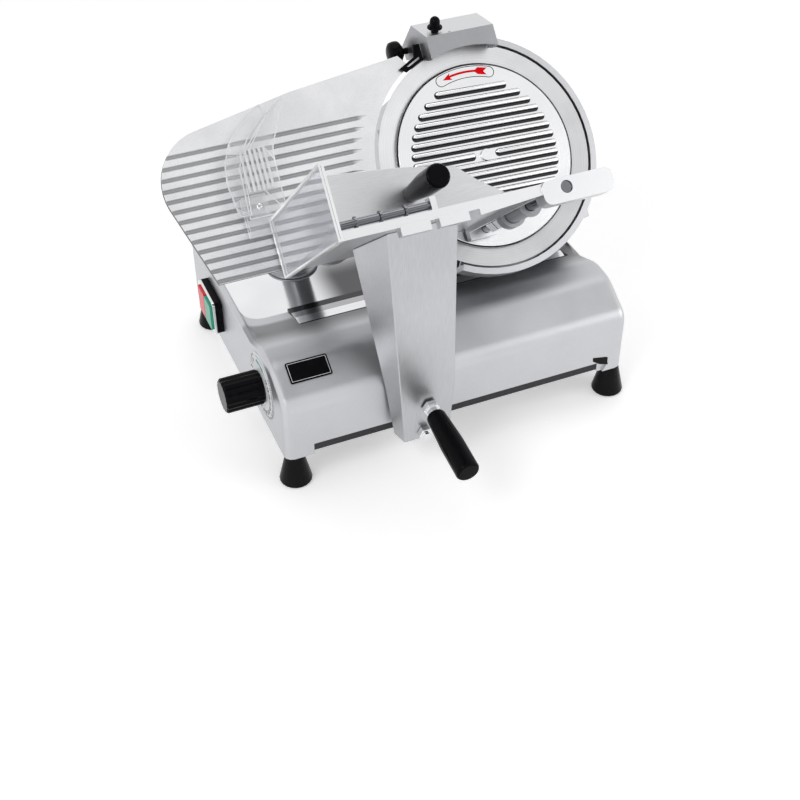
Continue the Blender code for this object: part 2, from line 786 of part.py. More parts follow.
def make_base(machine):
    mesh = prism(base_outline(), 0, BASE_LENGTH, "X")
    soften(mesh, END_ROUND, 3, lambda edge: edge.verts[0].co.x == edge.verts[1].co.x
           and max(vert.co.z for vert in edge.verts) > LOBE_Z + SEAT)
    base = piece("base_casting", mesh, machine, "aluminium")
    cut(base, base_cavity())
    for x in (FOOT_INSET_LEFT, BASE_LENGTH - FOOT_INSET_RIGHT):
        for y in (FOOT_FRONT_Y, FOOT_REAR_Y):
            unite(base, rod(CORNER_BOSS_R, LOBE_Z, DECK_Z - BASE_WALL / 2), at=(x, y, 0))
    cut(base, deck_pocket())
    cut(base, box((STRIP_LEFT_X - SEAT, STRIP_RIGHT_X + SEAT), (STRIP_GROOVE_Y, DECK_FRONT_Y + OVERRUN),
                  (DECK_Z, RIM_Z + OVERRUN)))
    unite(base, housing_pad())
    cut(base, pad_hollow())
    cut(base, skirt_cut())
    left, right = LOBE_LENGTH, BASE_LENGTH - LOBE_LENGTH
    cut(base, box((left, right), (0, BASE_WALL + OVERRUN), (LOBE_Z - OVERRUN, RAIL_BOTTOM_Z)))
    cut_left_holes(base)
    cut(base, rod(SLIDE_ROD_R + RUNNING * 2, -SLIDE_ROD_END_OFF, -POST_TOP_OFF),
        turn=(math.pi / 2 - TILT, 0, 0), at=slide_foot())
    return base


def cut_left_holes(base):
    """The knob spindle's bore and the switch's opening."""
    inner = BASE_WALL + OVERRUN
    cut(base, rod(SPINDLE_R + RUNNING, -OVERRUN, inner), turn=(0, math.pi / 2, 0),
        at=(0, KNOB_Y, KNOB_Z))
    half_y = SWITCH_LENGTH / 2 - SWITCH_BACK_INSET + SEAT
    half_z = SWITCH_HEIGHT / 2 - SWITCH_BACK_INSET + SEAT
    cut(base, box((-OVERRUN, inner), (SWITCH_Y - half_y, SWITCH_Y + half_y),
                  (SWITCH_Z - half_z, SWITCH_Z + half_z)))


def pad_hollow():
    """The room under the housing pad, open to the inside of the base."""
    wall = BASE_WALL
    return box((BLADE_X + HOUSING_LEFT + wall, BASE_LENGTH - RIM_WIDTH - wall),
               (HOUSING_FRONT_Y + wall, BASE_DEPTH - REAR_ROUND - wall),
               (DECK_Z - wall - OVERRUN, RIM_Z - wall))


def slide_foot():
    """Where the gauge slide's axis starts on the blade's plane, in the machine frame."""
    return (BLADE_X + SLIDE_X, slope_y(0, SLIDE_U), slope_z(0, SLIDE_U))


def make_bottom_cover(machine):
    gap = BASE_WALL + SEAT
    outline = rounded((gap, BASE_LENGTH - gap), (BOTTOM_COVER_FRONT_Y, BASE_DEPTH - gap), BASE_WALL)
    cover = piece("bottom_cover", prism(outline, BOTTOM_COVER_Z, BOTTOM_COVER_Z + BOTTOM_COVER_T),
                  machine, "stainless")
    for x in (FOOT_INSET_LEFT, BASE_LENGTH - FOOT_INSET_RIGHT):
        cut(cover, rod(CORNER_BOSS_R + SEAT, BOTTOM_COVER_Z - OVERRUN, BOTTOM_COVER_Z + OVERRUN * 2),
            at=(x, FOOT_REAR_Y, 0))
    return cover


def make_feet(machine):
    height = LOBE_Z - SEAT
    left, right = FOOT_INSET_LEFT, BASE_LENGTH - FOOT_INSET_RIGHT
    places = {"front_left": (left, FOOT_FRONT_Y), "rear_left": (left, FOOT_REAR_Y),
              "front_right": (right, FOOT_FRONT_Y), "rear_right": (right, FOOT_REAR_Y)}
    for side, (x, y) in places.items():
        profile = [(0, 0), (FOOT_BOTTOM_R - FOOT_LIP / 2, 0), (FOOT_BOTTOM_R, FOOT_LIP / 2),
                   (FOOT_BOTTOM_R, FOOT_LIP), (FOOT_TOP_R, height), (0, height)]
        piece(f"foot_{side}", turned(profile, MIDDLE_ROUND), machine, "rubber", at=(x, y, 0))


def make_strip(machine):
    """The stainless strip that steps down from the beam to the deck."""
    low = DECK_Z + SEAT
    first = STRIP_FRONT_Y + STRIP_STEP_LENGTH
    second = first + STRIP_STEP_LENGTH
    outline = [(STRIP_FRONT_Y, low), (STRIP_FRONT_Y, STRIP_TOP_Z), (first, STRIP_TOP_Z),
               (first, STRIP_TOP_Z - STRIP_STEP), (second, STRIP_TOP_Z - STRIP_STEP),
               (second, STRIP_TOP_Z - STRIP_STEP * 2), (DECK_FRONT_Y, STRIP_TOP_Z - STRIP_STEP * 2),
               (DECK_FRONT_Y, low)]
    return piece("deck_strip", prism(outline, STRIP_LEFT_X, STRIP_RIGHT_X, "X"), machine, "stainless")


def make_badge(machine):
    """The bare plate on the beam's front slope."""
    run = math.hypot(CREASE_HIGH_Y, CREASE_HIGH_Z - CREASE_LOW_Z)
    angle = math.atan2(CREASE_HIGH_Z - CREASE_LOW_Z, CREASE_HIGH_Y)
    outline = rounded((0, BADGE_WIDTH), (run * BADGE_START_SHARE, run * BADGE_END_SHARE), BADGE_T * 2)
    return piece("badge_plate", prism(outline, SEAT, SEAT + BADGE_T), machine, "black_plastic",
                 at=(BADGE_LEFT_X, 0, CREASE_LOW_Z), turn=(angle, 0, 0))


def make_switch(machine, start, stop):
    """Switch housing and bezel on the left wall, with two sprung buttons."""
    across = (SWITCH_Y - SWITCH_LENGTH / 2, SWITCH_Y + SWITCH_LENGTH / 2)
    up = (SWITCH_Z - SWITCH_HEIGHT / 2, SWITCH_Z + SWITCH_HEIGHT / 2)
    outline = rounded(across, up, SWITCH_RADIUS)
    body = piece("switch_housing", prism(outline, -SEAT - SWITCH_BODY_T, -SEAT, "X"), machine,
                 "black_plastic")
    inset = SWITCH_BACK_INSET
    unite(body, box((-SEAT * 2, SWITCH_BACK_T), (across[0] + inset, across[1] - inset),
                    (up[0] + inset, up[1] - inset)))
    face = -SEAT * 2 - SWITCH_BODY_T
    bezel = piece("switch_bezel", prism(outline, face - BEZEL_T, face, "X"), machine, "chrome")
    border = BEZEL_BORDER
    window = ((across[0] + border, across[1] - border), (up[0] + border, up[1] - border))
    cut(bezel, box((face - BEZEL_T - OVERRUN, face + OVERRUN), *window))
    pocket = BUTTON_TRAVEL + BUTTON_GAP * 2
    cut(body, box((face, -SEAT - SWITCH_BODY_T + pocket), *window))
    for name, low, high, parent, finish in (
            ("start_button", window[0][0] + BUTTON_GAP, SWITCH_Y - BUTTON_GAP, start, "green"),
            ("stop_button", SWITCH_Y + BUTTON_GAP, window[0][1] - BUTTON_GAP, stop, "red")):
        outline = rounded((low - SWITCH_Y, high - SWITCH_Y),
                          (window[1][0] + BUTTON_GAP - SWITCH_Z, window[1][1] - BUTTON_GAP - SWITCH_Z),
                          SWITCH_RADIUS / 4, 2)
        back = face + BUTTON_GAP
        piece(name, prism(outline, face - BEZEL_T - BUTTON_PROUD, back, "X"), parent, finish)


def make_gland(machine):
    profile = [(GLAND_BORE_R, SEAT), (GLAND_FLANGE_R, SEAT), (GLAND_FLANGE_R, GLAND_LENGTH / 4),
               (GLAND_R, GLAND_LENGTH / 4), (GLAND_TIP_R, GLAND_LENGTH), (GLAND_BORE_R, GLAND_LENGTH)]
    return piece("cable_gland", turned(profile, SMALL_ROUND), machine, "black_plastic",
                 at=(GLAND_X, BASE_DEPTH, GLAND_Z), turn=(-math.pi / 2, 0, 0))


def make_rails(machine):
    low, high = BASE_WALL + SEAT, BASE_LENGTH - BASE_WALL - SEAT
    piece("carriage_rod", rod(ROD_R, low, high, ROUND), machine, "chrome",
          at=(0, ROD_Y, ROD_Z), turn=(0, math.pi / 2, 0))
    piece("guide_bar", box((low, high), (GUIDE_Y, GUIDE_Y + GUIDE_SIZE),
                           (GUIDE_Z, GUIDE_Z + GUIDE_SIZE)), machine, "dark_steel")


def make_dial(machine):
    profile = [(SPINDLE_R + RUNNING, SEAT), (DIAL_R, SEAT), (DIAL_R, DIAL_T - DIAL_EDGE),
               (DIAL_R - DIAL_EDGE, DIAL_T), (SPINDLE_R + RUNNING, DIAL_T)]
    return piece("dial_plate", turned(profile, MIDDLE_ROUND * 2), machine, "white_print",
                 at=(0, KNOB_Y, KNOB_Z), turn=(0, -math.pi / 2, 0))


def ribbed_disc(radius, ridge, count, low, high, edge):
    """A knob body with rounded ridges along its side."""
    steps = count * 4
    rings = []
    for height, shrink in ((low, edge), (low + edge, 0), (high - edge, 0), (high, edge)):
        ring = []
        for index in range(steps):
            angle = math.tau * index / steps
            reach = radius - shrink - ridge * (0.5 - 0.5 * math.cos(count * angle))
            ring.append((reach * math.cos(angle), reach * math.sin(angle), height))
        rings.append(ring)
    return loft(rings)


def make_knob(knob):
    """Thickness knob, its spindle and cam, along the knob frame's Z, which points out to the left."""
    low = DIAL_T + SEAT
    piece("thickness_knob", ribbed_disc(KNOB_R, KNOB_RIDGE, KNOB_RIDGES, low, low + KNOB_LENGTH,
                                        KNOB_EDGE), knob, "black_plastic")
    shaft = piece("knob_spindle", rod(SPINDLE_R, -CAM_X - CAM_T, low - SEAT), knob, "stainless")
    unite(shaft, rod(CAM_R, -CAM_X - CAM_T, -CAM_X, MIDDLE_ROUND))
    return shaft


def ring_outline(outer, inner):
    """An open ring's section in the blade frame, from its lower to its upper end."""
    span = arc(outer, RING_START, RING_END, RING_ROUND)
    back = arc(inner, RING_END, RING_START, RING_ROUND)
    return span + back


def make_housing(blade):
    """The blade's guard ring and back plate in one casting."""
    mesh = prism(ring_outline(RING_OUTER_R, RING_INNER_R), -BACK_OFF, RING_FRONT_OFF)
    housing = piece("blade_housing", mesh, blade, "aluminium")
    inside = OVERRUN / RING_OUTER_R
    start, end = RING_START + inside, RING_END - inside
    plate = arc((RING_OUTER_R + RING_INNER_R) / 2, start, end, RING_ROUND)
    plate += arc(CUT_SIDE_R, end, math.tau + start, SMALL_ROUND)
    unite(housing, prism(plate, -BACK_OFF, -BACK_FRONT_OFF))
    top = RING_OUTER_R + OVERRUN
    cut(housing, box((-STONE_GAP_LEFT, STONE_GAP_RIGHT), (top - STONE_GAP_DEPTH, top),
                     (-BACK_FRONT_OFF, RING_FRONT_OFF + OVERRUN)))
    cut(housing, rod(BEARING_R + SEAT, -BACK_OFF - OVERRUN, -BACK_FRONT_OFF + OVERRUN, ROUND))
    return housing


def make_blade(spin):
    profile = [(BLADE_BORE_R, -BLADE_WEB_FRONT_OFF), (BLADE_RIM_R - RIB_SINK, -BLADE_WEB_FRONT_OFF),
               (BLADE_RIM_R, -BLADE_RIM_OFF), (BLADE_R, 0), (BLADE_BEVEL_R, -BLADE_BEVEL_DEPTH),
               (BLADE_RIM_R, -BLADE_WEB_BACK_OFF), (BLADE_HUB_R, -BLADE_WEB_BACK_OFF),
               (BLADE_HUB_R, -BLADE_HUB_OFF), (BLADE_BORE_R, -BLADE_HUB_OFF)]
    return piece("blade", turned(profile, BLADE_ROUND), spin, "blade_steel")


def make_shaft(spin):
    """The hollow blade shaft: nose in the blade's bore, flange behind the hub, journal, pulley seat."""
    flange = BLADE_HUB_OFF + SEAT
    nose = BLADE_WEB_FRONT_OFF
    profile = [(SHAFT_BORE_R, -nose), (BLADE_BORE_R - SEAT, -nose), (BLADE_BORE_R - SEAT, -flange),
               (SHAFT_FLANGE_R, -flange), (SHAFT_FLANGE_R, -flange - SHAFT_FLANGE_T),
               (SHAFT_R, -flange - SHAFT_FLANGE_T), (SHAFT_R, -SHAFT_END_OFF), (SHAFT_BORE_R, -SHAFT_END_OFF)]
    piece("blade_shaft", turned(profile, SMALL_ROUND), spin, "stainless")
    half = PULLEY_WIDTH / 2
    lip = half + BELT_T / 2
    rim = DRIVEN_PULLEY_R + BELT_T / 2
    hub = [(SHAFT_R + SEAT, -PULLEY_OFF - lip), (rim, -PULLEY_OFF - lip), (rim, -PULLEY_OFF - half - SEAT),
           (DRIVEN_PULLEY_R, -PULLEY_OFF - half - SEAT), (DRIVEN_PULLEY_R, -PULLEY_OFF + half + SEAT),
           (rim, -PULLEY_OFF + half + SEAT), (rim, -PULLEY_OFF + lip), (SHAFT_R + SEAT, -PULLEY_OFF + lip)]
    piece("driven_pulley", turned(hub, MIDDLE_ROUND), spin, "aluminium")


def make_bearing(blade):
    low = -BEARING_OFF - BEARING_LENGTH
    return piece("blade_bearing", tube(SHAFT_R + RUNNING, BEARING_R, low, low + BEARING_LENGTH, ROUND),
                 blade, "dark_steel")


def make_blade_cover(blade):
    """The fixed ribbed disc inside the blade's rim, with the rod that holds it through the shaft."""
    profile = [(0, -COVER_BACK_OFF), (COVER_R - COVER_EDGE, -COVER_BACK_OFF), (COVER_R, -COVER_BACK_OFF / 2),
               (COVER_R, COVER_FACE_OFF - COVER_EDGE), (COVER_R - COVER_EDGE, COVER_FACE_OFF),
               (0, COVER_FACE_OFF)]
    cover = piece("blade_cover", turned(profile, BLADE_ROUND), blade, "polished")
    rows = int((RIB_TOP_V - RIB_BOTTOM_V) / RIB_PITCH) + 1
    ribs = bmesh.new()
    for row in range(rows):
        v = RIB_TOP_V - row * RIB_PITCH
        reach = math.sqrt(RIB_FIELD_R ** 2 - v ** 2)
        spans = [(-reach, reach)]
        if abs(v) < RIB_PITCH / 2:
            spans = [(-reach, -RIB_GAP_HALF), (RIB_GAP_HALF, reach)]
        for low, high in spans:
            add_rib(ribs, low, high, v, RIB_HALF_WIDTH, RIB_HEIGHT, COVER_FACE_OFF, RIB_HALF_WIDTH)
    unite(cover, ribs, turn=(0, 0, COVER_TURN))
    unite(cover, rod(COVER_BOSS_R, COVER_FACE_OFF - RIB_SINK, COVER_FACE_OFF + RIB_HEIGHT))
    return unite(cover, rod(COVER_ROD_R, -PEDESTAL_BACK_OFF, -COVER_BACK_OFF + RIB_SINK))


def add_rib(mesh, low, high, v, half, height, face, point):
    """A long rib with a rounded back and narrowed ends, standing on the level called face."""
    section = [(half * across, height * tall) for across, tall in RIB_SECTION_SHARES]
    end = RIB_END_SHARE
    stations = ((low, end), (low + point, 1), (high - point, 1), (high, end))
    rings = []
    for x, share in stations:
        ring = [mesh.verts.new((x, v + a * share, face + b * share)) for a, b in section]
        ring.append(mesh.verts.new((x, v + half * share, face - RIB_SINK)))
        ring.append(mesh.verts.new((x, v - half * share, face - RIB_SINK)))
        rings.append(ring)
    mesh.faces.new(rings[0])
    mesh.faces.new(rings[-1])
    for first, second in zip(rings, rings[1:]):
        for index in range(len(first)):
            following = (index + 1) % len(first)
            mesh.faces.new((first[index], first[following], second[following], second[index]))


def split_u(n, y):
    """Slope height at which the level n behind the blade crosses the machine's y."""
    return (y - BLADE_Y + n * math.cos(TILT)) / math.sin(TILT)


def inset(outline, distance):
    """The outline moved inward by one distance on every side."""
    count = len(outline)
    area = sum(outline[i][0] * outline[(i + 1) % count][1] - outline[(i + 1) % count][0] * outline[i][1]
               for i in range(count))
    inward = distance if area > 0 else -distance
    moved = []
    for index in range(count):
        before, here, after = (Vector(outline[(index + k) % count]) for k in (-1, 0, 1))
        first = (here - before).normalized()
        second = (after - here).normalized()
        normal = Vector((-first.y - second.y, first.x + second.x)).normalized()
        reach = inward / normal.dot(Vector((-first.y, first.x)))
        moved.append(tuple(here + normal * reach))
    return moved


def make_pedestal(machine):
    """The cast web from the pad to the back plate, hollow in front for the belt."""
    low = RIM_Z + SEAT
    front = -BACK_OFF - SEAT
    back = -PEDESTAL_BACK_OFF
    outline = [(HOUSING_FRONT_Y, low), slope_point(front, PEDESTAL_LOW_U),
               slope_point(front, PEDESTAL_TOP_U), slope_point(back, PEDESTAL_TOP_U),
               slope_point(back, split_u(back, HOUSING_SPLIT_Y)), (HOUSING_SPLIT_Y, low)]
    mesh = prism(outline, BLADE_X + HOUSING_LEFT, BLADE_X + HOUSING_RIGHT, "X")
    pedestal = piece("pedestal", mesh, machine, "aluminium")
    wall = PEDESTAL_WALL
    hollow = inset(outline, wall)
    hollow[0], hollow[-1] = (hollow[0][0], low - OVERRUN), (hollow[-1][0], low - OVERRUN)
    cut(pedestal, prism(hollow, BLADE_X + HOUSING_LEFT + wall, BLADE_X + HOUSING_RIGHT - wall, "X"))
    tilt = {"turn": (math.pi / 2 - TILT, 0, 0), "at": (BLADE_X, BLADE_Y, BLADE_Z)}
    room = BELT_T + BELT_ROOM
    cut(pedestal, prism(belt_outline(room), -BELT_ROOM_OFF, -BACK_OFF + OVERRUN), **tilt)
    cut(pedestal, rod(COVER_ROD_R + SEAT, back - OVERRUN, -BACK_OFF), **tilt)
    motor_axis = {"turn": tilt["turn"], "at": motor_place()}
    cut(pedestal, rod(MOTOR_SHAFT_R + RUNNING, back - OVERRUN, -BACK_OFF), **motor_axis)
    cut(pedestal, rod(MOTOR_R + SEAT, back - MOTOR_LENGTH, back, ROUND), **motor_axis)
    return pedestal


def motor_place():
    return (BLADE_X + MOTOR_X, slope_y(0, MOTOR_U), slope_z(0, MOTOR_U))


def make_motor_cover(machine):
    """The shell behind the pedestal, with vent slots in its upright rear wall."""
    low = RIM_Z + SEAT
    split = HOUSING_SPLIT_Y + SEAT
    back = -PEDESTAL_BACK_OFF - SEAT
    outline = [(split, low), slope_point(back, split_u(back, split)),
               slope_point(back, MOTOR_COVER_TOP_U), slope_point(-MOTOR_COVER_SHOULDER_OFF, MOTOR_COVER_TOP_U),
               (MOTOR_COVER_REAR_Y, MOTOR_COVER_REAR_TOP_Z), (MOTOR_COVER_REAR_Y, MOTOR_COVER_REAR_LOW_Z),
               (BASE_DEPTH + MOTOR_COVER_WALL, low)]
    left, right = BLADE_X + HOUSING_LEFT, BLADE_X + HOUSING_RIGHT
    mesh = prism(outline, left, right, "X")
    limit = slope_z(back, split_u(back, split)) + OVERRUN
    soften(mesh, MOTOR_COVER_ROUND, 3, lambda edge: min(vert.co.z for vert in edge.verts) > limit
           and min(vert.co.y for vert in edge.verts) > slope_y(back, MOTOR_COVER_TOP_U) - OVERRUN
           or min(vert.co.y for vert in edge.verts) > MOTOR_COVER_REAR_Y - OVERRUN)
    cover = piece("motor_cover", mesh, machine, "aluminium")
    wall = MOTOR_COVER_WALL
    cut(cover, prism(inset(outline, wall), left + wall, right - wall, "X"))
    motor_axis = {"turn": (math.pi / 2 - TILT, 0, 0), "at": motor_place()}
    cut(cover, rod(MOTOR_R + wall, back - MOTOR_LENGTH, back + MOTOR_LENGTH, ROUND), **motor_axis)
    middle = (left + right) / 2
    vents = bmesh.new()
    for index in range(VENT_COUNT):
        x = middle + (index - (VENT_COUNT - 1) / 2) * VENT_PITCH
        span = (MOTOR_COVER_REAR_LOW_Z + VENT_MARGIN, MOTOR_COVER_REAR_TOP_Z - VENT_MARGIN)
        outline = rounded((x - VENT_WIDTH / 2, x + VENT_WIDTH / 2), span, VENT_WIDTH / 2 - SEAT, 3)
        slot = prism(outline, MOTOR_COVER_REAR_Y - wall - OVERRUN, MOTOR_COVER_REAR_Y + OVERRUN, "Y")
        add_mesh(vents, slot)
    cut(cover, vents)
    return cover


def add_mesh(target, extra):
    """Copies one bmesh into another."""
    data = bpy.data.meshes.new("step")
    extra.to_mesh(data)
    extra.free()
    target.from_mesh(data)
    bpy.data.meshes.remove(data)


def belt_outline(extra):
    """The line round both pulleys, larger than them by extra."""
    distance = math.hypot(MOTOR_X, MOTOR_U)
    heading = math.atan2(MOTOR_U, MOTOR_X)
    spread = math.acos((DRIVEN_PULLEY_R - DRIVE_PULLEY_R) / distance)
    big = arc(DRIVEN_PULLEY_R + extra, heading + spread, heading + math.tau - spread, MIDDLE_ROUND)
    small = arc(DRIVE_PULLEY_R + extra, heading - spread, heading + spread, TINY_ROUND, (MOTOR_X, MOTOR_U))
    return big + small


def make_drive(blade, rotor):
    half = PULLEY_WIDTH / 2
    belt = piece("drive_belt", prism(belt_outline(BELT_T + SEAT), -PULLEY_OFF - half, -PULLEY_OFF + half),
                 blade, "rubber")
    cut(belt, prism(belt_outline(SEAT), -PULLEY_OFF - half - OVERRUN, -PULLEY_OFF + half + OVERRUN))
    lip = half + BELT_T
    end = -PEDESTAL_BACK_OFF - MOTOR_SHAFT_DEPTH
    profile = [(0, -PULLEY_OFF + lip), (DRIVE_PULLEY_R, -PULLEY_OFF + lip), (DRIVE_PULLEY_R, -PULLEY_OFF - lip),
               (MOTOR_SHAFT_R, -PULLEY_OFF - lip), (MOTOR_SHAFT_R, end), (0, end)]
    piece("motor_pulley", turned(profile, MIDDLE_ROUND), rotor, "dark_steel")
    start = -PEDESTAL_BACK_OFF - SEAT
    motor = piece("motor", rod(MOTOR_R, start - MOTOR_LENGTH, start, ROUND, MOTOR_EDGE), blade,
                  "dark_steel", at=(MOTOR_X, MOTOR_U, 0))
    cut(motor, rod(MOTOR_SHAFT_R + RUNNING, end - OVERRUN, start + OVERRUN))
    return motor


def make_deflector(blade):
    """A curved sheet behind the blade's free edge that turns slices down onto the deck."""
    outer = []
    inner = []
    width = DEFLECTOR_FAR_X - DEFLECTOR_NEAR_X
    depth = DEFLECTOR_NEAR_OFF - DEFLECTOR_FAR_OFF
    for index in range(DEFLECTOR_STEPS + 1):
        angle = math.pi / 2 * index / DEFLECTOR_STEPS
        x = -DEFLECTOR_FAR_X + width * math.sin(angle)
        n = -DEFLECTOR_FAR_OFF - depth * (1 - math.cos(angle))
        outer.append((x, n))
        inner.append((x - DEFLECTOR_T * math.sin(angle), n - DEFLECTOR_T * math.cos(angle)))
    mesh = prism(outer + inner[::-1], -DEFLECTOR_HALF, DEFLECTOR_HALF, "Y")
    return piece("slice_deflector", mesh, blade, "stainless")


def gauge_outline():
    """The thickness plate seen square on, round its left end, along the top and down the blade's arc."""
    left = arc(GAUGE_ROUND_R, GAUGE_ROUND_END, GAUGE_ROUND_START, TINY_ROUND, (GAUGE_ROUND_X, GAUGE_ROUND_U))
    arc_end = math.pi + math.asin(-GAUGE_BOTTOM_U / GAUGE_ARC_R)
    beside_blade = arc(GAUGE_ARC_R, GAUGE_ARC_START, arc_end, MIDDLE_ROUND)
    top = [(GAUGE_SHOULDER_X, GAUGE_SHOULDER_U), (GAUGE_CORNER_X, GAUGE_CORNER_U)]
    return [(GAUGE_BOTTOM_X, GAUGE_BOTTOM_U)] + left + top + beside_blade


def make_gauge_plate(gauge):
    """The thickness plate, with straight grooves that end in points beside the blade."""
    plate = piece("gauge_plate", prism(gauge_outline(), -GAUGE_T, 0), gauge, "aluminium")
    grooves = bmesh.new()
    left = GAUGE_ROUND_X - GAUGE_ROUND_R - OVERRUN
    for row in range(GROOVE_COUNT):
        u = GROOVE_TOP_U - row * GROOVE_PITCH
        right = -math.sqrt(GAUGE_ARC_R ** 2 - u ** 2) - GROOVE_END_GAP
        rings = []
        for x, share in ((left, 1), (right - GROOVE_POINT, 1), (right, GROOVE_TIP_SHARE)):
            half = GROOVE_HALF * share
            floor = half * GROOVE_FLOOR_SHARE
            rings.append([(x, u - half, OVERRUN), (x, u - half, 0), (x, u - floor, -GROOVE_DEPTH * share),
                          (x, u + floor, -GROOVE_DEPTH * share), (x, u + half, 0),
                          (x, u + half, OVERRUN)])
        add_mesh(grooves, loft(rings))
    return cut(plate, grooves)


def make_gauge_slide(gauge, machine):
    """Boss and rod behind the thickness plate, running in a post that stands on the deck."""
    back = -GAUGE_T - SEAT
    profile = [(SLIDE_ROD_R + SEAT, back), (SLIDE_FLANGE_R, back), (SLIDE_FLANGE_R, back - SLIDE_FLANGE_T),
               (SLIDE_BOSS_R, back - SLIDE_FLANGE_T), (SLIDE_BOSS_R, -SLIDE_BOSS_OFF),
               (SLIDE_ROD_R + SEAT, -SLIDE_BOSS_OFF)]
    piece("gauge_boss", turned(profile), gauge, "aluminium")
    piece("gauge_rod", rod(SLIDE_ROD_R, -SLIDE_ROD_END_OFF, back, MIDDLE_ROUND), gauge, "chrome")
    foot_n = level_n(DECK_Z + SEAT, SLIDE_U)
    under = foot_n - POST_FOOT_R
    post = piece("gauge_post", rod(POST_R, under, -POST_TOP_OFF, MIDDLE_ROUND), machine, "aluminium",
                 at=slide_foot(), turn=(math.pi / 2 - TILT, 0, 0))
    level = {"at": (0, 0, foot_n), "turn": (TILT - math.pi / 2, 0, 0)}
    unite(post, turned([(0, -OVERRUN), (POST_FOOT_R, -OVERRUN), (POST_FOOT_R, POST_FOOT_T / 2),
                        (POST_FOOT_R * POST_FOOT_SHARE, POST_FOOT_T), (0, POST_FOOT_T)]), **level)
    wide = BASE_DEPTH
    cut(post, box((-wide, wide), (-wide, wide), (-wide, 0)), **level)
    return cut(post, rod(SLIDE_ROD_R + RUNNING, under - OVERRUN, OVERRUN, MIDDLE_ROUND),
               turn=(0, 0, POST_BORE_TURN))


def make_gauge_yoke(gauge):
    """The arm inside the base that carries the cam's push to the gauge rod."""
    end = -SLIDE_ROD_END_OFF
    collar = tube(SLIDE_ROD_R + SEAT, YOKE_COLLAR_R, end, end + YOKE_COLLAR_T, MIDDLE_ROUND)
    yoke = piece("gauge_yoke", collar, gauge, "dark_steel")
    middle = end + YOKE_COLLAR_T / 2
    axis_x = BLADE_X + SLIDE_X
    axis_y = slope_y(middle, SLIDE_U)
    level = {"at": (0, 0, middle), "turn": (TILT - math.pi / 2, 0, 0)}
    half = YOKE_BAR_HEIGHT / 2
    left = CAM_X + CAM_T + YOKE_CAM_GAP - axis_x
    wall = (YOKE_COLLAR_R - SLIDE_ROD_R) / 2
    unite(yoke, box((left, -SLIDE_ROD_R - wall), (-half, half), (-half, half)), **level)
    unite(yoke, box((left, left + YOKE_BAR_WIDTH), (YOKE_FRONT_Y - axis_y, 0), (-half, half)), **level)
    return yoke


def make_slide(carriage):
    """The block that runs on the rod, with its hook under the skirt and its fork on the guide bar."""
    bar_low = GUIDE_Z - FORK_CLEAR
    bar_top = GUIDE_Z + GUIDE_SIZE + FORK_CLEAR
    reach = GUIDE_Y + GUIDE_SIZE + FORK_OVERHANG
    front = ARM_FACE_Y + ARM_WALL + SEAT
    outline = [(front, HOOK_TOP_Z), (front, HOOK_Z + HOOK_CHAMFER + HOOK_T / 2), (front + HOOK_CHAMFER, HOOK_Z),
               (BLOCK_BACK_Y, HOOK_Z), (BLOCK_BACK_Y, bar_low - FORK_PRONG), (reach, bar_low - FORK_PRONG),
               (reach, bar_low), (GUIDE_Y - FORK_CLEAR, bar_low), (GUIDE_Y - FORK_CLEAR, bar_top),
               (reach, bar_top), (reach, bar_top + FORK_PRONG), (BLOCK_BACK_Y, bar_top + FORK_PRONG),
               (BLOCK_BACK_Y, BLOCK_TOP_Z), (BLOCK_FRONT_Y, BLOCK_TOP_Z), (BLOCK_FRONT_Y, HOOK_Z + HOOK_T),
               (-HOOK_BACK_Y, HOOK_Z + HOOK_T), (-HOOK_BACK_Y, HOOK_TOP_Z)]
    low, high = CARRIAGE_X - SLIDE_BLOCK_HALF, CARRIAGE_X + SLIDE_BLOCK_HALF
    block = piece("slide_block", prism(outline, low, high, "X"), carriage, "aluminium")
    cut(block, rod(ROD_R + RUNNING, low - OVERRUN, high + OVERRUN, ROUND),
        turn=(0, math.pi / 2, 0), at=(0, ROD_Y, ROD_Z))
    return block


def arm_ring(left, right, splay, depth, level):
    """One channel section of the arm; level gives each corner's height from its y."""
    front, back, wall = ARM_FACE_Y, ARM_FACE_Y + depth, ARM_WALL
    corners = [(left, front), (right, front), (right, back), (right - wall, back),
               (right - wall, front + wall), (left + wall, front + wall),
               (left + wall - splay, back), (left - splay, back)]
    return [(x, y, level(y)) for x, y in corners]


def tray_underside_z(y):
    """Height at y of the plane just under the tray."""
    u = TRAY_U - TRAY_T - SEAT
    return BLADE_Z + (u - (y - BLADE_Y) * math.sin(TILT)) / math.cos(TILT)


def part_way(low, high, share):
    return low + (high - low) * share


def make_arm(carriage):
    """The upright channel from the hook up to the tray, splayed to the left."""
    share = (ARM_BEND_Z - ARM_BOTTOM_Z) / (tray_underside_z(ARM_FACE_Y) - ARM_BOTTOM_Z)
    bottom = arm_ring(ARM_LEFT_BOTTOM_X, ARM_RIGHT_BOTTOM_X, ARM_BOTTOM_SPLAY, ARM_BOTTOM_DEPTH,
                      lambda y: ARM_BOTTOM_Z)
    bend = arm_ring(part_way(ARM_LEFT_BOTTOM_X, ARM_LEFT_TOP_X, share), ARM_RIGHT_BEND_X,
                    part_way(ARM_BOTTOM_SPLAY, ARM_LEFT_SPLAY, share),
                    part_way(ARM_BOTTOM_DEPTH, ARM_TOP_DEPTH, share), lambda y: ARM_BEND_Z)
    top = arm_ring(ARM_LEFT_TOP_X, ARM_RIGHT_TOP_X, ARM_LEFT_SPLAY, ARM_TOP_DEPTH, tray_underside_z)
    return piece("carriage_arm", loft([bottom, bend, top]), carriage, "aluminium")


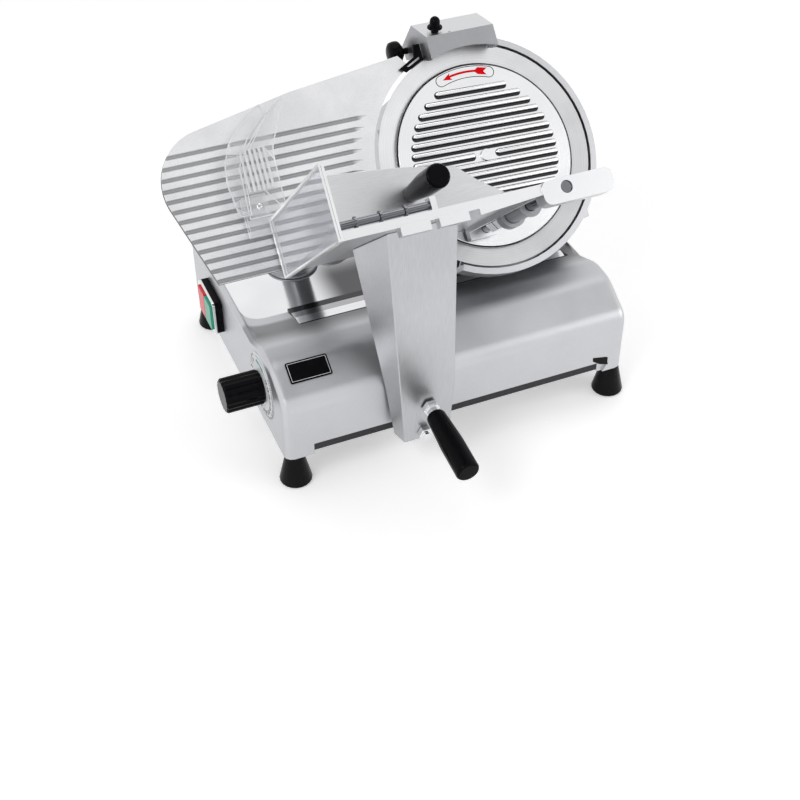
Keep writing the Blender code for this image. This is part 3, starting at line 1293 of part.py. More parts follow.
def make_handle(carriage):
    grip = frame("handle_axis", carriage, (HANDLE_X, ARM_FACE_Y - SEAT, HANDLE_Z),
                 (math.pi / 2 + HANDLE_PITCH, 0, 0))
    lean = HANDLE_NUT_R * math.tan(HANDLE_PITCH)
    top = lean + HANDLE_NUT_T
    nut = turned([(0, lean), (HANDLE_NUT_R, lean), (HANDLE_NUT_R, top), (HANDLE_NECK_R, top),
                  (HANDLE_NECK_R, top + HANDLE_NECK_L), (0, top + HANDLE_NECK_L)], HEX)
    piece("handle_nut", nut, grip, "chrome", sharp=math.radians(20))
    low = top + HANDLE_NECK_L + SEAT
    high = low + HANDLE_LENGTH
    profile = [(0, low), (HANDLE_START_R - HANDLE_EDGE / 2, low), (HANDLE_START_R, low + HANDLE_EDGE),
               (HANDLE_R, low + HANDLE_LENGTH / 2), (HANDLE_R, high - HANDLE_EDGE),
               (HANDLE_R - HANDLE_EDGE / 3, high - HANDLE_EDGE / 3), (HANDLE_R - HANDLE_EDGE, high),
               (0, high)]
    piece("handle", turned(profile, MIDDLE_ROUND), grip, "black_plastic")
    tip = ARM_BOLT_T + ARM_BOLT_TIP
    bolt = turned([(0, 0), (ARM_BOLT_R, 0), (ARM_BOLT_R, ARM_BOLT_T), (ARM_BOLT_R / 2, ARM_BOLT_T),
                   (ARM_BOLT_R / 2, tip), (0, tip)], HEX)
    piece("arm_bolt", bolt, carriage, "chrome", at=(ARM_BOLT_X, ARM_FACE_Y - SEAT, ARM_BOLT_Z),
          turn=(math.pi / 2, 0, 0), sharp=math.radians(20))


def make_tray(table):
    """The food tray with its turned-down rim, lugs, and the two ears that hold the pusher rod."""
    low = TRAY_U - TRAY_RIM
    under = TRAY_U - TRAY_T
    tray = piece("tray", box((TRAY_LEFT, TRAY_RIGHT), (under, TRAY_U), (TRAY_INNER_OFF, TRAY_OUTER_OFF)),
                 table, "aluminium")
    wall = TRAY_RIM_T
    for x, n in (((TRAY_LEFT, TRAY_RIGHT), (TRAY_OUTER_OFF - wall, TRAY_OUTER_OFF)),
                 ((TRAY_LEFT, TRAY_LEFT + wall), (TRAY_INNER_OFF, TRAY_OUTER_OFF)),
                 ((TRAY_RIGHT - wall, TRAY_RIGHT), (TRAY_INNER_OFF, TRAY_OUTER_OFF))):
        unite(tray, box(x, (low, TRAY_U), n))
    for left in LUG_LEFTS:
        unite(tray, box((left, left + LUG_WIDTH), (low - LUG_DROP, low + OVERRUN),
                        (TRAY_OUTER_OFF - LUG_T, TRAY_OUTER_OFF + OVERRUN)))
    flange = [(FLANGE_LEFT, low + OVERRUN), (FLANGE_LEFT, low - FLANGE_DROP),
              (TRAY_RIGHT, low - OVERRUN / 2), (TRAY_RIGHT, low + OVERRUN)]
    unite(tray, prism(flange, TRAY_OUTER_OFF - FLANGE_T, TRAY_OUTER_OFF))
    ear = rounded((TRAY_RIGHT - TRAY_EAR_RADIUS, TRAY_EAR_RIGHT), (TRAY_EAR_LOW_U, TRAY_EAR_TOP_U),
                  TRAY_EAR_RADIUS)
    unite(tray, prism(ear, TRAY_EAR_OFF, TRAY_OUTER_OFF + OVERRUN))
    reach = PUSHER_ROD_X + SLEEVE_R
    unite(tray, box((TRAY_RIGHT - wall, reach), (PUSHER_ROD_U - SLEEVE_R, TRAY_U),
                    (TRAY_INNER_OFF, INNER_EAR_OFF)))
    unite(tray, box((TRAY_ROD_END, TRAY_ROD_END + TRAY_LUG_T), (under, TRAY_ROD_U + TRAY_LUG_HALF),
                    (TRAY_ROD_OFF - TRAY_LUG_HALF, TRAY_ROD_OFF + TRAY_LUG_HALF)))
    cut(tray, rod(PUSHER_ROD_R + SEAT, 0, TRAY_OUTER_OFF + OVERRUN * 2), at=(PUSHER_ROD_X, PUSHER_ROD_U, 0))
    return tray


def make_side_plate(table):
    outline = [(SIDE_BOTTOM_U, TRAY_INNER_OFF), (SIDE_BOTTOM_U, SIDE_OUTER_OFF), (SIDE_OUTER_U, SIDE_OUTER_OFF),
               (SIDE_INNER_U, TRAY_INNER_OFF)]
    right = TRAY_LEFT - SEAT
    piece("side_plate", prism(outline, right - SIDE_T, right, "X"), table, "clear")
    length = TRAY_ROD_END - SEAT - TRAY_LEFT - SEAT
    bar = piece("tray_rod", rod(TRAY_ROD_R, 0, length, TINY_ROUND), table, "chrome",
                at=(TRAY_LEFT + SEAT, TRAY_ROD_U, TRAY_ROD_OFF), turn=(0, math.pi / 2, 0))
    for index in range(TRAY_ROD_COLLARS):
        start = length * (index + 1) / (TRAY_ROD_COLLARS + 1)
        unite(bar, rod(TRAY_ROD_COLLAR_R, start, start + TRAY_ROD_COLLAR_T, TINY_ROUND))


def wing_left_x(u):
    """The wing's bulging edge at height u."""
    share = max(0, (u - WING_LEFT_U) / (WING_TIP_U - WING_LEFT_U))
    return WING_LEFT_X + (WING_TIP_X - WING_LEFT_X) * share ** WING_BULGE_POWER


def wing_right_x(u):
    share = max(0, (u - WING_SIDE_U) / (WING_TIP_U - WING_SIDE_U))
    return WING_SIDE_X + (WING_TIP_X - WING_SIDE_X) * share ** 2


def steps_between(low, high, count):
    return [low + (high - low) * index / count for index in range(count + 1)]


def make_wing(table):
    """The clear hand guard: a D-shaped panel with a flared rim along its bulging edge."""
    climb = steps_between(WING_SIDE_U, WING_TIP_U, WING_STEPS // 2)
    fall = steps_between(WING_TIP_U, WING_LEFT_U, WING_STEPS)
    outline = [(WING_SIDE_X, WING_LOW_U)] + [(wing_right_x(u), u) for u in climb]
    outline += [(wing_left_x(u), u) for u in fall[1:]] + [(WING_LEFT_X, WING_LOW_U)]
    wing = piece("wing_guard", prism(outline, WING_OFF, WING_OFF + WING_T), table, "clear")
    rings = []
    places = steps_between(WING_RIM_START_U, WING_RIM_TOP_U, WING_STEPS)
    for index, u in enumerate(places):
        slope = Vector((wing_left_x(u + OVERRUN) - wing_left_x(u), OVERRUN)).normalized()
        out = Vector((-slope.y, slope.x))
        edge = Vector((wing_left_x(u), u)) - out * WING_RIM_T
        share = part_way(*WING_RIM_SHARES, index / WING_STEPS)
        reach = WING_RIM * math.sqrt(math.sin(math.pi * share))
        far = edge + out * (reach + WING_RIM_T)
        near_n, far_n = WING_OFF + SEAT, WING_OFF + WING_RIM_LIFT
        rings.append([(edge.x, edge.y, near_n), (far.x, far.y, far_n),
                      (far.x, far.y, far_n + WING_RIM_T), (edge.x, edge.y, near_n + WING_RIM_T)])
    unite(wing, loft(rings))
    ribs = bmesh.new()
    middle = (WING_SIDE_X + WING_LEFT_X) / 2
    for index in range(WING_RIBS):
        x = middle + (index - (WING_RIBS - 1) / 2) * WING_RIB_PITCH
        add_mesh(ribs, box((x - WING_RIB_T / 2, x + WING_RIB_T / 2), (WING_RIB_LOW_U, WING_RIB_TOP_U),
                           (WING_OFF + WING_T / 2, WING_OFF + WING_T + WING_RIB_T)))
    unite(wing, ribs)
    right = TRAY_LEFT - SEAT * 2 - SIDE_T
    piece("wing_bracket", box((BRACKET_LEFT, right), (BRACKET_LOW_U, BRACKET_TOP_U),
                              (TRAY_INNER_OFF, WING_OFF - SEAT)), table, "clear")


def make_pusher_rod(table):
    bar = rod(PUSHER_ROD_R, TRAY_INNER_OFF, TRAY_OUTER_OFF, MIDDLE_ROUND)
    return piece("pusher_rod", bar, table, "chrome",
                 at=(PUSHER_ROD_X, PUSHER_ROD_U, 0))


def make_sleeve(slide):
    """The sleeve on the pusher rod, with its end washer and two locking nuts."""
    bore = PUSHER_ROD_R + RUNNING
    profile = [(bore, SLEEVE_START_OFF), (SLEEVE_R, SLEEVE_START_OFF), (SLEEVE_R, SLEEVE_END_OFF),
               (SLEEVE_WASHER_R, SLEEVE_END_OFF), (SLEEVE_WASHER_R, SLEEVE_END_OFF + SLEEVE_WASHER_T),
               (bore, SLEEVE_END_OFF + SLEEVE_WASHER_T)]
    piece("pusher_sleeve", turned(profile, MIDDLE_ROUND), slide, "aluminium")
    for name, start in (("pusher_nut_inner", LOCK_NUT_OFF),
                        ("pusher_nut_outer", LOCK_NUT_OFF + LOCK_NUT_LENGTH + LOCK_NUT_GAP_OFF)):
        nut = piece(name, turned([(0, start), (LOCK_NUT_R, start), (LOCK_NUT_R, start + LOCK_NUT_LENGTH),
                                  (0, start + LOCK_NUT_LENGTH)], HEX), slide, "chrome", sharp=math.radians(20))
        cut(nut, rod(bore, start - OVERRUN, start + LOCK_NUT_LENGTH + OVERRUN))


def make_pusher(pusher):
    """The pusher plate on its hinged hub, with spikes behind it and the grip in front."""
    outline = [(PLATE_LEFT, PLATE_BOTTOM_U), (TRAY_RIGHT - OVERRUN, PLATE_BOTTOM_U),
               (TRAY_RIGHT + OVERRUN, PLATE_RIGHT_LOW_U), (PLATE_RIGHT, PLATE_RIGHT_LOW_U),
               (PLATE_RIGHT, PLATE_RIGHT_U), (PLATE_CORNER, PLATE_CORNER_U),
               (PLATE_SHOULDER, PLATE_SHOULDER_U), (PLATE_MID, PLATE_MID_U), (PLATE_LEFT, PLATE_LEFT_U)]
    place = {"at": (-PUSHER_ROD_X, -PUSHER_ROD_U, 0)}
    piece("pusher_plate", prism(outline, PLATE_OFF, PLATE_OFF + PLATE_T), pusher, "aluminium", **place)
    ring_end = HUB_RING_OFF + HUB_RING_T
    hub = piece("pusher_hub", tube(SLEEVE_R + RUNNING, HUB_RING_R, HUB_RING_OFF, ring_end, MIDDLE_ROUND),
                pusher, "aluminium")
    half = HUB_POST_WIDTH / 2
    unite(hub, box((-half, half), ((SLEEVE_R + HUB_RING_R) / 2, HUB_POST_TOP_U - PUSHER_ROD_U),
                   (PLATE_OFF + PLATE_T + SEAT, ring_end)))
    cut(hub, rod(SLEEVE_R + RUNNING, PLATE_OFF, ring_end + OVERRUN, MIDDLE_ROUND))
    right = SPIKE_LEFT + SPIKE_PITCH_X * (SPIKE_COLUMNS - 1) + SPIKE_PLATE_MARGIN
    top = SPIKE_LOW_U + SPIKE_PITCH_U * (SPIKE_ROWS - 1) + SPIKE_PLATE_MARGIN
    high = PLATE_OFF - SEAT
    spikes = piece("spike_plate", box((SPIKE_LEFT - SPIKE_PLATE_MARGIN, right),
                                      (SPIKE_LOW_U - SPIKE_PLATE_MARGIN, top), (high - SPIKE_PLATE_T, high)),
                   pusher, "stainless", **place)
    cones = bmesh.new()
    for row in range(SPIKE_ROWS):
        for column in range(SPIKE_COLUMNS):
            cone = turned([(0, high - SPIKE_PLATE_T / 2), (SPIKE_R, high - SPIKE_PLATE_T / 2),
                           (0, high - SPIKE_LENGTH)], HEX)
            bmesh.ops.translate(cone, verts=cone.verts, vec=(SPIKE_LEFT + SPIKE_PITCH_X * column,
                                                             SPIKE_LOW_U + SPIKE_PITCH_U * row, 0))
            add_mesh(cones, cone)
    unite(spikes, cones)
    low = PLATE_OFF + PLATE_T + SEAT
    high = low + GRIP_LENGTH
    swell = low + GRIP_LENGTH * GRIP_SWELL_SHARE
    profile = [(0, low), (GRIP_NECK_R, low), (GRIP_NECK_R, low + GRIP_EDGE), (GRIP_R, swell),
               (GRIP_R, high - GRIP_EDGE), (GRIP_R - GRIP_EDGE / 3, high - GRIP_EDGE / 3),
               (GRIP_R - GRIP_EDGE, high), (0, high)]
    piece("pusher_grip", turned(profile, MIDDLE_ROUND), pusher, "black_plastic",
          at=(GRIP_X - PUSHER_ROD_X, GRIP_U - PUSHER_ROD_U, 0))


def blade_point(y, z):
    """A machine point's height up the slope and distance out of the blade's plane."""
    up = (y - BLADE_Y) * math.sin(TILT) + (z - BLADE_Z) * math.cos(TILT)
    out = -(y - BLADE_Y) * math.cos(TILT) + (z - BLADE_Z) * math.sin(TILT)
    return up, out


def push_y():
    """The push button's place behind the roof's front edge."""
    return slope_y(SHARP_FRONT_OFF, SHARP_FACE_U) + PUSH_SETBACK


def roof_z(y):
    """Height of the sharpener cover's top face at y."""
    front = slope_point(SHARP_FRONT_OFF, SHARP_FACE_U)
    ridge = slope_point(SHARP_RIDGE_OFF, SHARP_RIDGE_U)
    return front[1] + (ridge[1] - front[1]) * (y - front[0]) / (ridge[0] - front[0])


def make_sharpener(head, blade):
    """The lift-off sharpener: a hollow cover over two stones, sliding on a rod behind the ring."""
    outline = [(SHARP_LOW_U, SHARP_FRONT_OFF), (SHARP_FACE_U, SHARP_FRONT_OFF), (SHARP_RIDGE_U, SHARP_RIDGE_OFF),
               (SHARP_BACK_U, SHARP_BACK_OFF), (SHARP_BACK_LOW_U, SHARP_BACK_OFF)]
    cover = piece("sharpener_cover", prism(outline, SHARP_LEFT, SHARP_RIGHT, "X"), head, "polished")
    inner = inset(outline, SHARP_WALL)
    inner[0] = (SHARP_LOW_U - OVERRUN, inner[0][1])
    inner[-1] = (SHARP_BACK_LOW_U - OVERRUN, inner[-1][1])
    cut(cover, prism(inner, SHARP_LEFT + SHARP_WALL, SHARP_RIGHT - SHARP_WALL, "X"))
    cut(cover, rod(RING_OUTER_R + SHARP_RING_GAP, SHARP_BACK_OFF - OVERRUN,
                   RING_FRONT_OFF + SHARP_RING_GAP, BLADE_ROUND))
    cut(cover, rod(SHARP_ARCH_R, 0, SHARP_FRONT_OFF + OVERRUN, BLADE_ROUND))
    half = GUIDE_SLEEVE_HALF
    unite(cover, box((-half, half), (GUIDE_SLEEVE_LOW_U, GUIDE_SLEEVE_TOP_U),
                     (GUIDE_ROD_OFF - half, GUIDE_ROD_OFF + half)))
    upright = {"turn": (-math.pi / 2, 0, 0), "at": (0, 0, GUIDE_ROD_OFF)}
    bore_top = GUIDE_ROD_TOP_U + RUNNING
    cut(cover, rod(GUIDE_ROD_R + RUNNING, GUIDE_SLEEVE_LOW_U - OVERRUN, bore_top), **upright)
    rear_u = BLADE_R + STONE_CLEAR + STONE_REAR_R
    front_u = BLADE_R + STONE_CLEAR + STONE_FRONT_R
    unite(cover, rod(STONE_PIN_R, SHARP_BACK_OFF + SHARP_WALL / 2, STONE_REAR_OFF + STONE_REAR_T / 2),
          at=(STONE_REAR_X, rear_u, 0))
    unite(cover, rod(STONE_PIN_R, STONE_FRONT_OFF - STONE_FRONT_T / 2, SHARP_FRONT_OFF - SHARP_WALL / 2),
          at=(STONE_FRONT_X, front_u, 0))
    up, out = blade_point(push_y(), roof_z(push_y()))
    level = (TILT - math.pi / 2, 0, 0)
    cut(cover, rod(PUSH_STEM_R + RUNNING, -PUSH_STEM_L, PUSH_STEM_L), at=(PUSH_X, up, out), turn=level)
    cut(cover, rod(LOCK_STUD_R + RUNNING, SHARP_LEFT - OVERRUN, SHARP_LEFT + SHARP_WALL * 2),
        at=(0, LOCK_KNOB_U, LOCK_KNOB_OFF), turn=(0, math.pi / 2, 0))
    piece("sharpener_rod", rod(GUIDE_ROD_R, GUIDE_ROD_LOW_U, GUIDE_ROD_TOP_U), blade, "chrome", **upright)
    front = -BACK_OFF - SEAT
    foot = piece("sharpener_foot", box((-GUIDE_FOOT_HALF, GUIDE_FOOT_HALF), (GUIDE_FOOT_LOW_U, GUIDE_FOOT_TOP_U),
                                       (GUIDE_ROD_OFF * 2 - front, front)), blade, "aluminium")
    cut(foot, rod(GUIDE_ROD_R + SEAT, GUIDE_ROD_LOW_U - SEAT, GUIDE_FOOT_TOP_U + OVERRUN), **upright)
    return rear_u, front_u


def make_stone(axis, name, radius, thickness):
    half = thickness / 2
    edge = thickness / 6
    profile = [(STONE_PIN_R + RUNNING, -half), (radius - edge, -half), (radius, -half + edge),
               (radius, half - edge), (radius - edge, half), (STONE_PIN_R + RUNNING, half)]
    return piece(name, turned(profile, MIDDLE_ROUND), axis, "stone")


def make_push_button(axis):
    """The black flanged dome above the roof and its stem through it; the axis starts at the roof."""
    top = PUSH_HEIGHT
    uphill = roof_z(push_y() - PUSH_FLANGE_R) - roof_z(push_y())
    low = uphill + PUSH_TRAVEL + SEAT
    flange = low + PUSH_FLANGE_T
    profile = [(0, -PUSH_STEM_L), (PUSH_STEM_R, -PUSH_STEM_L), (PUSH_STEM_R, low), (PUSH_FLANGE_R, low),
               (PUSH_FLANGE_R, flange - PUSH_FLANGE_T / 3), (PUSH_FLANGE_R - PUSH_FLANGE_T / 3, flange),
               (PUSH_R, flange)]
    profile += arc(PUSH_R, 0, math.pi / 2, 4, (0, top - PUSH_R))[:-1] + [(0, top)]
    return piece("sharpener_button", turned(profile, MIDDLE_ROUND), axis, "black_plastic")


def make_lock_knob(axis):
    """The lobed knob and its stud through the cover's left wall; Z points out to the left."""
    half = LOCK_KNOB_T / 2
    mesh = ribbed_disc(LOCK_KNOB_R, LOCK_KNOB_LOBE, LOCK_KNOB_LOBES, -half, half, LOCK_KNOB_LOBE)
    knob = piece("lock_knob", mesh, axis, "black_plastic")
    reach = LOCK_KNOB_X - SHARP_LEFT - SHARP_WALL
    return unite(knob, rod(LOCK_STUD_R, reach, 0))


def main():
    clear_scene()
    left = BLADE_X + GAUGE_ROUND_X - GAUGE_ROUND_R
    right = BASE_LENGTH - FOOT_INSET_RIGHT + FOOT_BOTTOM_R
    front = handle_tip_y()
    machine = frame("machine", at=(-(left + right) / 2, -(front + MOTOR_COVER_REAR_Y) / 2, 0))
    turn = (math.pi / 2 - TILT, 0, 0)
    blade = frame("blade_axis", machine, (BLADE_X, BLADE_Y, BLADE_Z), turn)
    spin = frame("blade_spin", blade)
    rotor = frame("motor_rotor", blade, (MOTOR_X, MOTOR_U, 0))
    make_base(machine)
    make_bottom_cover(machine)
    make_feet(machine)
    make_strip(machine)
    make_badge(machine)
    make_gland(machine)
    make_rails(machine)
    make_dial(machine)
    make_pedestal(machine)
    make_motor_cover(machine)
    make_switch(machine, frame("start_axis", machine, (0, SWITCH_Y, SWITCH_Z)),
                frame("stop_axis", machine, (0, SWITCH_Y, SWITCH_Z)))
    make_housing(blade)
    make_bearing(blade)
    make_blade_cover(blade)
    make_deflector(blade)
    make_blade(spin)
    make_shaft(spin)
    make_drive(blade, rotor)
    make_knob(frame("knob_axis", machine, (0, KNOB_Y, KNOB_Z), (0, -math.pi / 2, 0)))
    make_gauge(machine, blade)
    make_carriage(machine, turn)
    make_sharpening(blade)


def handle_tip_y():
    """The foremost point of the machine, at the handle's rounded end."""
    lean = HANDLE_NUT_R * math.tan(HANDLE_PITCH)
    length = lean + HANDLE_NUT_T + HANDLE_NECK_L + SEAT + HANDLE_LENGTH
    reach = length * math.cos(HANDLE_PITCH) + (HANDLE_R - HANDLE_EDGE) * math.sin(HANDLE_PITCH)
    return ARM_FACE_Y - SEAT - reach


def make_gauge(machine, blade):
    slide = frame("gauge_slide", blade, (SLIDE_X, SLIDE_U, 0))
    make_gauge_plate(frame("gauge_face", slide, (-SLIDE_X, -SLIDE_U, 0)))
    make_gauge_slide(slide, machine)
    make_gauge_yoke(slide)


def make_carriage(machine, turn):
    axis = frame("carriage_slide", machine, (CARRIAGE_X, ROD_Y, ROD_Z))
    carriage = frame("carriage", axis, (-CARRIAGE_X, -ROD_Y, -ROD_Z))
    make_slide(carriage)
    make_arm(carriage)
    make_handle(carriage)
    table = frame("tray_frame", carriage, (BLADE_X, BLADE_Y, BLADE_Z), turn)
    make_tray(table)
    make_side_plate(table)
    make_wing(table)
    make_pusher_rod(table)
    slide = frame("pusher_slide", table, (PUSHER_ROD_X, PUSHER_ROD_U, 0))
    make_sleeve(slide)
    make_pusher(frame("pusher_hinge", slide))


def make_sharpening(blade):
    lift = frame("sharpener_lift", blade, (0, RING_OUTER_R, GUIDE_ROD_OFF))
    head = frame("sharpener_head", lift, (0, -RING_OUTER_R, -GUIDE_ROD_OFF))
    rear_u, front_u = make_sharpener(head, blade)
    make_stone(frame("rear_stone_axis", head, (STONE_REAR_X, rear_u, STONE_REAR_OFF)), "grinding_stone",
               STONE_REAR_R, STONE_REAR_T)
    make_stone(frame("front_stone_axis", head, (STONE_FRONT_X, front_u, STONE_FRONT_OFF)), "honing_stone",
               STONE_FRONT_R, STONE_FRONT_T)
    up, out = blade_point(push_y(), roof_z(push_y()))
    make_push_button(frame("button_axis", head, (PUSH_X, up, out), (TILT - math.pi / 2, 0, 0)))
    make_lock_knob(frame("lock_knob_axis", head, (LOCK_KNOB_X, LOCK_KNOB_U, LOCK_KNOB_OFF),
                         (0, -math.pi / 2, 0)))


main()
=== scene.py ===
# %% [markdown]
# # A gravity-feed meat slicer, dressed for its portrait
# The machine was built first as plain solids that fit and move. This lesson gives them
# their looks: rounded castings, ground steel, chrome, glossy black grips and clear guards.
# Everything is measured from the solids, in metres, so nothing here needs a picture.

import json
import math

import bmesh
import bpy
from mathutils import Matrix, Vector

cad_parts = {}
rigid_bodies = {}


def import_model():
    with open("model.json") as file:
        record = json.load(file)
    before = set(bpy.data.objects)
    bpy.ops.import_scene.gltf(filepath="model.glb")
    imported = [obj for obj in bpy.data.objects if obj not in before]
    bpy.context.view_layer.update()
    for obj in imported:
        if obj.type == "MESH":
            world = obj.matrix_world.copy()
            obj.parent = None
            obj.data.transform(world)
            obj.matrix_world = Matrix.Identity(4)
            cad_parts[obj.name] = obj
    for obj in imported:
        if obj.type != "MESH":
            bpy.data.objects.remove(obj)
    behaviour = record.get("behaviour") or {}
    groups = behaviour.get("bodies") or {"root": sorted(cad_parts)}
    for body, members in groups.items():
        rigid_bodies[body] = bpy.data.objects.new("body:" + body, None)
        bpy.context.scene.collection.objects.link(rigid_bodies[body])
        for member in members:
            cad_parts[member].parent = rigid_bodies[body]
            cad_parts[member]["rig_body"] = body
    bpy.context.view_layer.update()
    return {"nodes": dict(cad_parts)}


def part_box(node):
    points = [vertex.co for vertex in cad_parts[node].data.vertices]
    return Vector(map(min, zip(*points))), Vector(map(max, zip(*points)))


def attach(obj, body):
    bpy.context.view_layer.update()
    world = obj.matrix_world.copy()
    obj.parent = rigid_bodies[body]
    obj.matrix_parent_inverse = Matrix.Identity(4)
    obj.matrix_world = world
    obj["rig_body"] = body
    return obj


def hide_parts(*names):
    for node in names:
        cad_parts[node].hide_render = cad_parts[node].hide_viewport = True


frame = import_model()
nodes = frame["nodes"]
MM = 0.001

# %% [markdown]
# ## The camera
# The portrait looks down on the front left corner of the machine from about 41 degrees,
# through a long lens. The three columns below are the camera's right, up and back.
# The picture is square, so a 36 mm sensor with this lens gives the same framing.

# %% Camera
PICTURE = 800
FOCAL_PIXELS = 1372.17
SENSOR = 36
lens = bpy.data.cameras.new("portrait")
lens.sensor_width = SENSOR
lens.sensor_fit = "HORIZONTAL"
lens.lens = FOCAL_PIXELS * SENSOR / PICTURE
camera = bpy.data.objects.new("portrait", lens)
bpy.context.scene.collection.objects.link(camera)
right = Vector((0.9201822, -0.39148475, -0.00209901))
up = Vector((0.25788778, 0.60211209, 0.75561559))
back = Vector((-0.29454814, -0.69584532, 0.65501197))
camera.matrix_world = Matrix.Translation((-0.498099, -1.194908, 1.084352)) @ Matrix(
    (right, up, back)).transposed().to_4x4()
bpy.context.scene.camera = camera
print("lens", round(lens.lens, 2), "mm")

# %% [markdown]
# ## Shader maths
# A pattern is easier to read as a sum than as a cloud of boxes and wires. The class below
# holds one socket of a material. Adding or multiplying two of them adds the Math node
# that does it, and `node` adds any other node.

# %% A socket that Python can do maths on
class Wire:
    """One output socket of a node tree, with Python's own operators."""

    def __init__(self, tree, socket=None):
        self.tree = tree
        self.socket = socket

    def node(self, kind, settings=None, inputs=None, output=0):
        """Adds a node: its settings first, then the values or wires of its inputs."""
        made = self.tree.nodes.new(kind)
        for name, value in (settings or {}).items():
            setattr(made, name, value)
        for name, value in (inputs or {}).items():
            if isinstance(value, Wire):
                self.tree.links.new(value.socket, made.inputs[name])
            elif value is not None:
                made.inputs[name].default_value = value
        return Wire(self.tree, made.outputs[output])

    def maths(self, operation, *others):
        values = dict(enumerate((self, *others)))
        return self.node("ShaderNodeMath", {"operation": operation}, values)

    def __add__(self, other):
        return self.maths("ADD", other)

    def __sub__(self, other):
        return self.maths("SUBTRACT", other)

    def __rsub__(self, other):
        return self.node("ShaderNodeMath", {"operation": "SUBTRACT"}, {0: other, 1: self})

    def __mul__(self, other):
        return self.maths("MULTIPLY", other)

    __radd__ = __add__
    __rmul__ = __mul__

    def between(self, low, high):
        """0 below low, 1 above high, and a smooth step from one to the other."""
        return self.node("ShaderNodeMapRange", {"interpolation_type": "SMOOTHSTEP"},
                         {"Value": self, "From Min": low, "From Max": high})


print("a socket can be added, subtracted, multiplied and stepped")

# %% [markdown]
# ## Where a pattern sits
# Every finished piece keeps its object at the origin, so Object coordinates are simply
# the machine's own coordinates at rest. A brushed grain is a noise that is stretched along
# one direction. Turned metal needs the distance from the blade's axis, so its coordinates
# are first moved to the blade's centre and tilted back with it.

# %% Coordinates and noises
BLADE_CENTRE = Vector((0.11365, 0.001692, 0.285))
TILT = math.radians(42)
BLADE_TURN = (math.pi / 2 - TILT, 0, 0)
SLOPE = Vector((0, math.sin(TILT), math.cos(TILT)))
OUTWARD = Vector((0, -math.cos(TILT), math.sin(TILT)))


def place(wire, centre=(0, 0, 0), turn=(0, 0, 0), stretch=(1, 1, 1)):
    """Object coordinates seen from a place that is moved, turned and stretched."""
    own = wire.node("ShaderNodeTexCoord", output="Object")
    return wire.node("ShaderNodeMapping", {"vector_type": "TEXTURE"},
                     {"Vector": own, "Location": centre, "Rotation": turn, "Scale": stretch})


def noise(wire, scale, vector=None, detail=2.0, roughness=0.5):
    vector = vector or wire.node("ShaderNodeTexCoord", output="Object")
    return wire.node("ShaderNodeTexNoise", {}, {"Vector": vector, "Scale": scale, "Detail": detail,
                                                "Roughness": roughness})


def blend(wire, share, first, second):
    """A colour between two colours."""
    return wire.node("ShaderNodeMix", {"data_type": "RGBA"},
                     {0: share, 6: first if isinstance(first, Wire) else (*first, 1),
                      7: second if isinstance(second, Wire) else (*second, 1)}, output=2)


print("blade tilted back", round(math.degrees(TILT)), "degrees")

# %% [markdown]
# ## A finish and its wires
# Most finishes here start the same way: a Principled shader whose constants are typed into
# its own sockets. Only what changes over the surface is then linked to a socket. Where a
# finish is changed later on, `worked_on` hands back what is already linked.

# %% Finishes
def finish(name, colour, **constants):
    """A Principled material, its tree as a wire, and the inputs of its shader."""
    material = bpy.data.materials.new(name)
    material.use_nodes = True
    shader = material.node_tree.nodes["Principled BSDF"]
    shader.inputs["Base Color"].default_value = (*colour, 1)
    for socket, value in constants.items():
        shader.inputs[socket.replace("_", " ")].default_value = value
    return material, Wire(material.node_tree), shader.inputs


def link(wire, socket):
    wire.tree.links.new(wire.socket, socket)


def worked_on(material):
    """The tree and the inputs of a finished material, and the wire that feeds an input."""
    inputs = material.node_tree.nodes["Principled BSDF"].inputs

    def fed(name):
        return Wire(material.node_tree, inputs[name].links[0].from_socket)

    return Wire(material.node_tree), inputs, fed


print("a finish starts as one Principled shader")

# %% [markdown]
# A pattern can also follow the surface itself. A bump tilts the light without any new
# shape, `axes` takes a place apart, and `facing` tells the top of a casting from its sides.

# %% Surface
def bump(wire, height, distance):
    return wire.node("ShaderNodeBump", {}, {"Height": height, "Distance": distance})


def axes(wire, letters, vector):
    """The wires of some axes of a vector."""
    return [wire.node("ShaderNodeSeparateXYZ", {}, {"Vector": vector}, output=letter)
            for letter in letters]


def facing(wire, direction):
    """How far the surface looks one way: 1 straight that way, 0 square to it."""
    normal = wire.node("ShaderNodeTexCoord", output="Normal")
    return wire.node("ShaderNodeVectorMath", {"operation": "DOT_PRODUCT"},
                     {0: normal, 1: tuple(direction)}, output="Value")


UPWARDS = Vector((0, 0, 1))
print("upwards is", tuple(UPWARDS))

# %% [markdown]
# ## Cast aluminium
# The castings are blasted with fine beads and then anodised, which leaves a pale satin
# skin. Two noises do it: a broad one that makes the tone drift a little, as hands and
# cleaning leave it, and a fine one for the beads' pits.

# %% Satin castings
DRIFT_SCALE = 14
PIT_SCALE, PIT_DEPTH = 1400, 0.04 * MM


def cast_metal(name, pale, deep, rough):
    material, wire, sockets = finish(name, pale, Metallic=1.0)
    drift = noise(wire, DRIFT_SCALE, detail=4, roughness=0.6).between(0.3, 0.7)
    pits = noise(wire, PIT_SCALE, detail=3, roughness=0.6)
    shade = drift * 0.45 + pits.between(0.35, 0.65) * 0.55
    link(blend(wire, shade, deep, pale), sockets["Base Color"])
    link(rough + drift * 0.06 + pits * 0.10, sockets["Roughness"])
    link(bump(wire, pits, PIT_DEPTH), sockets["Normal"])
    return material


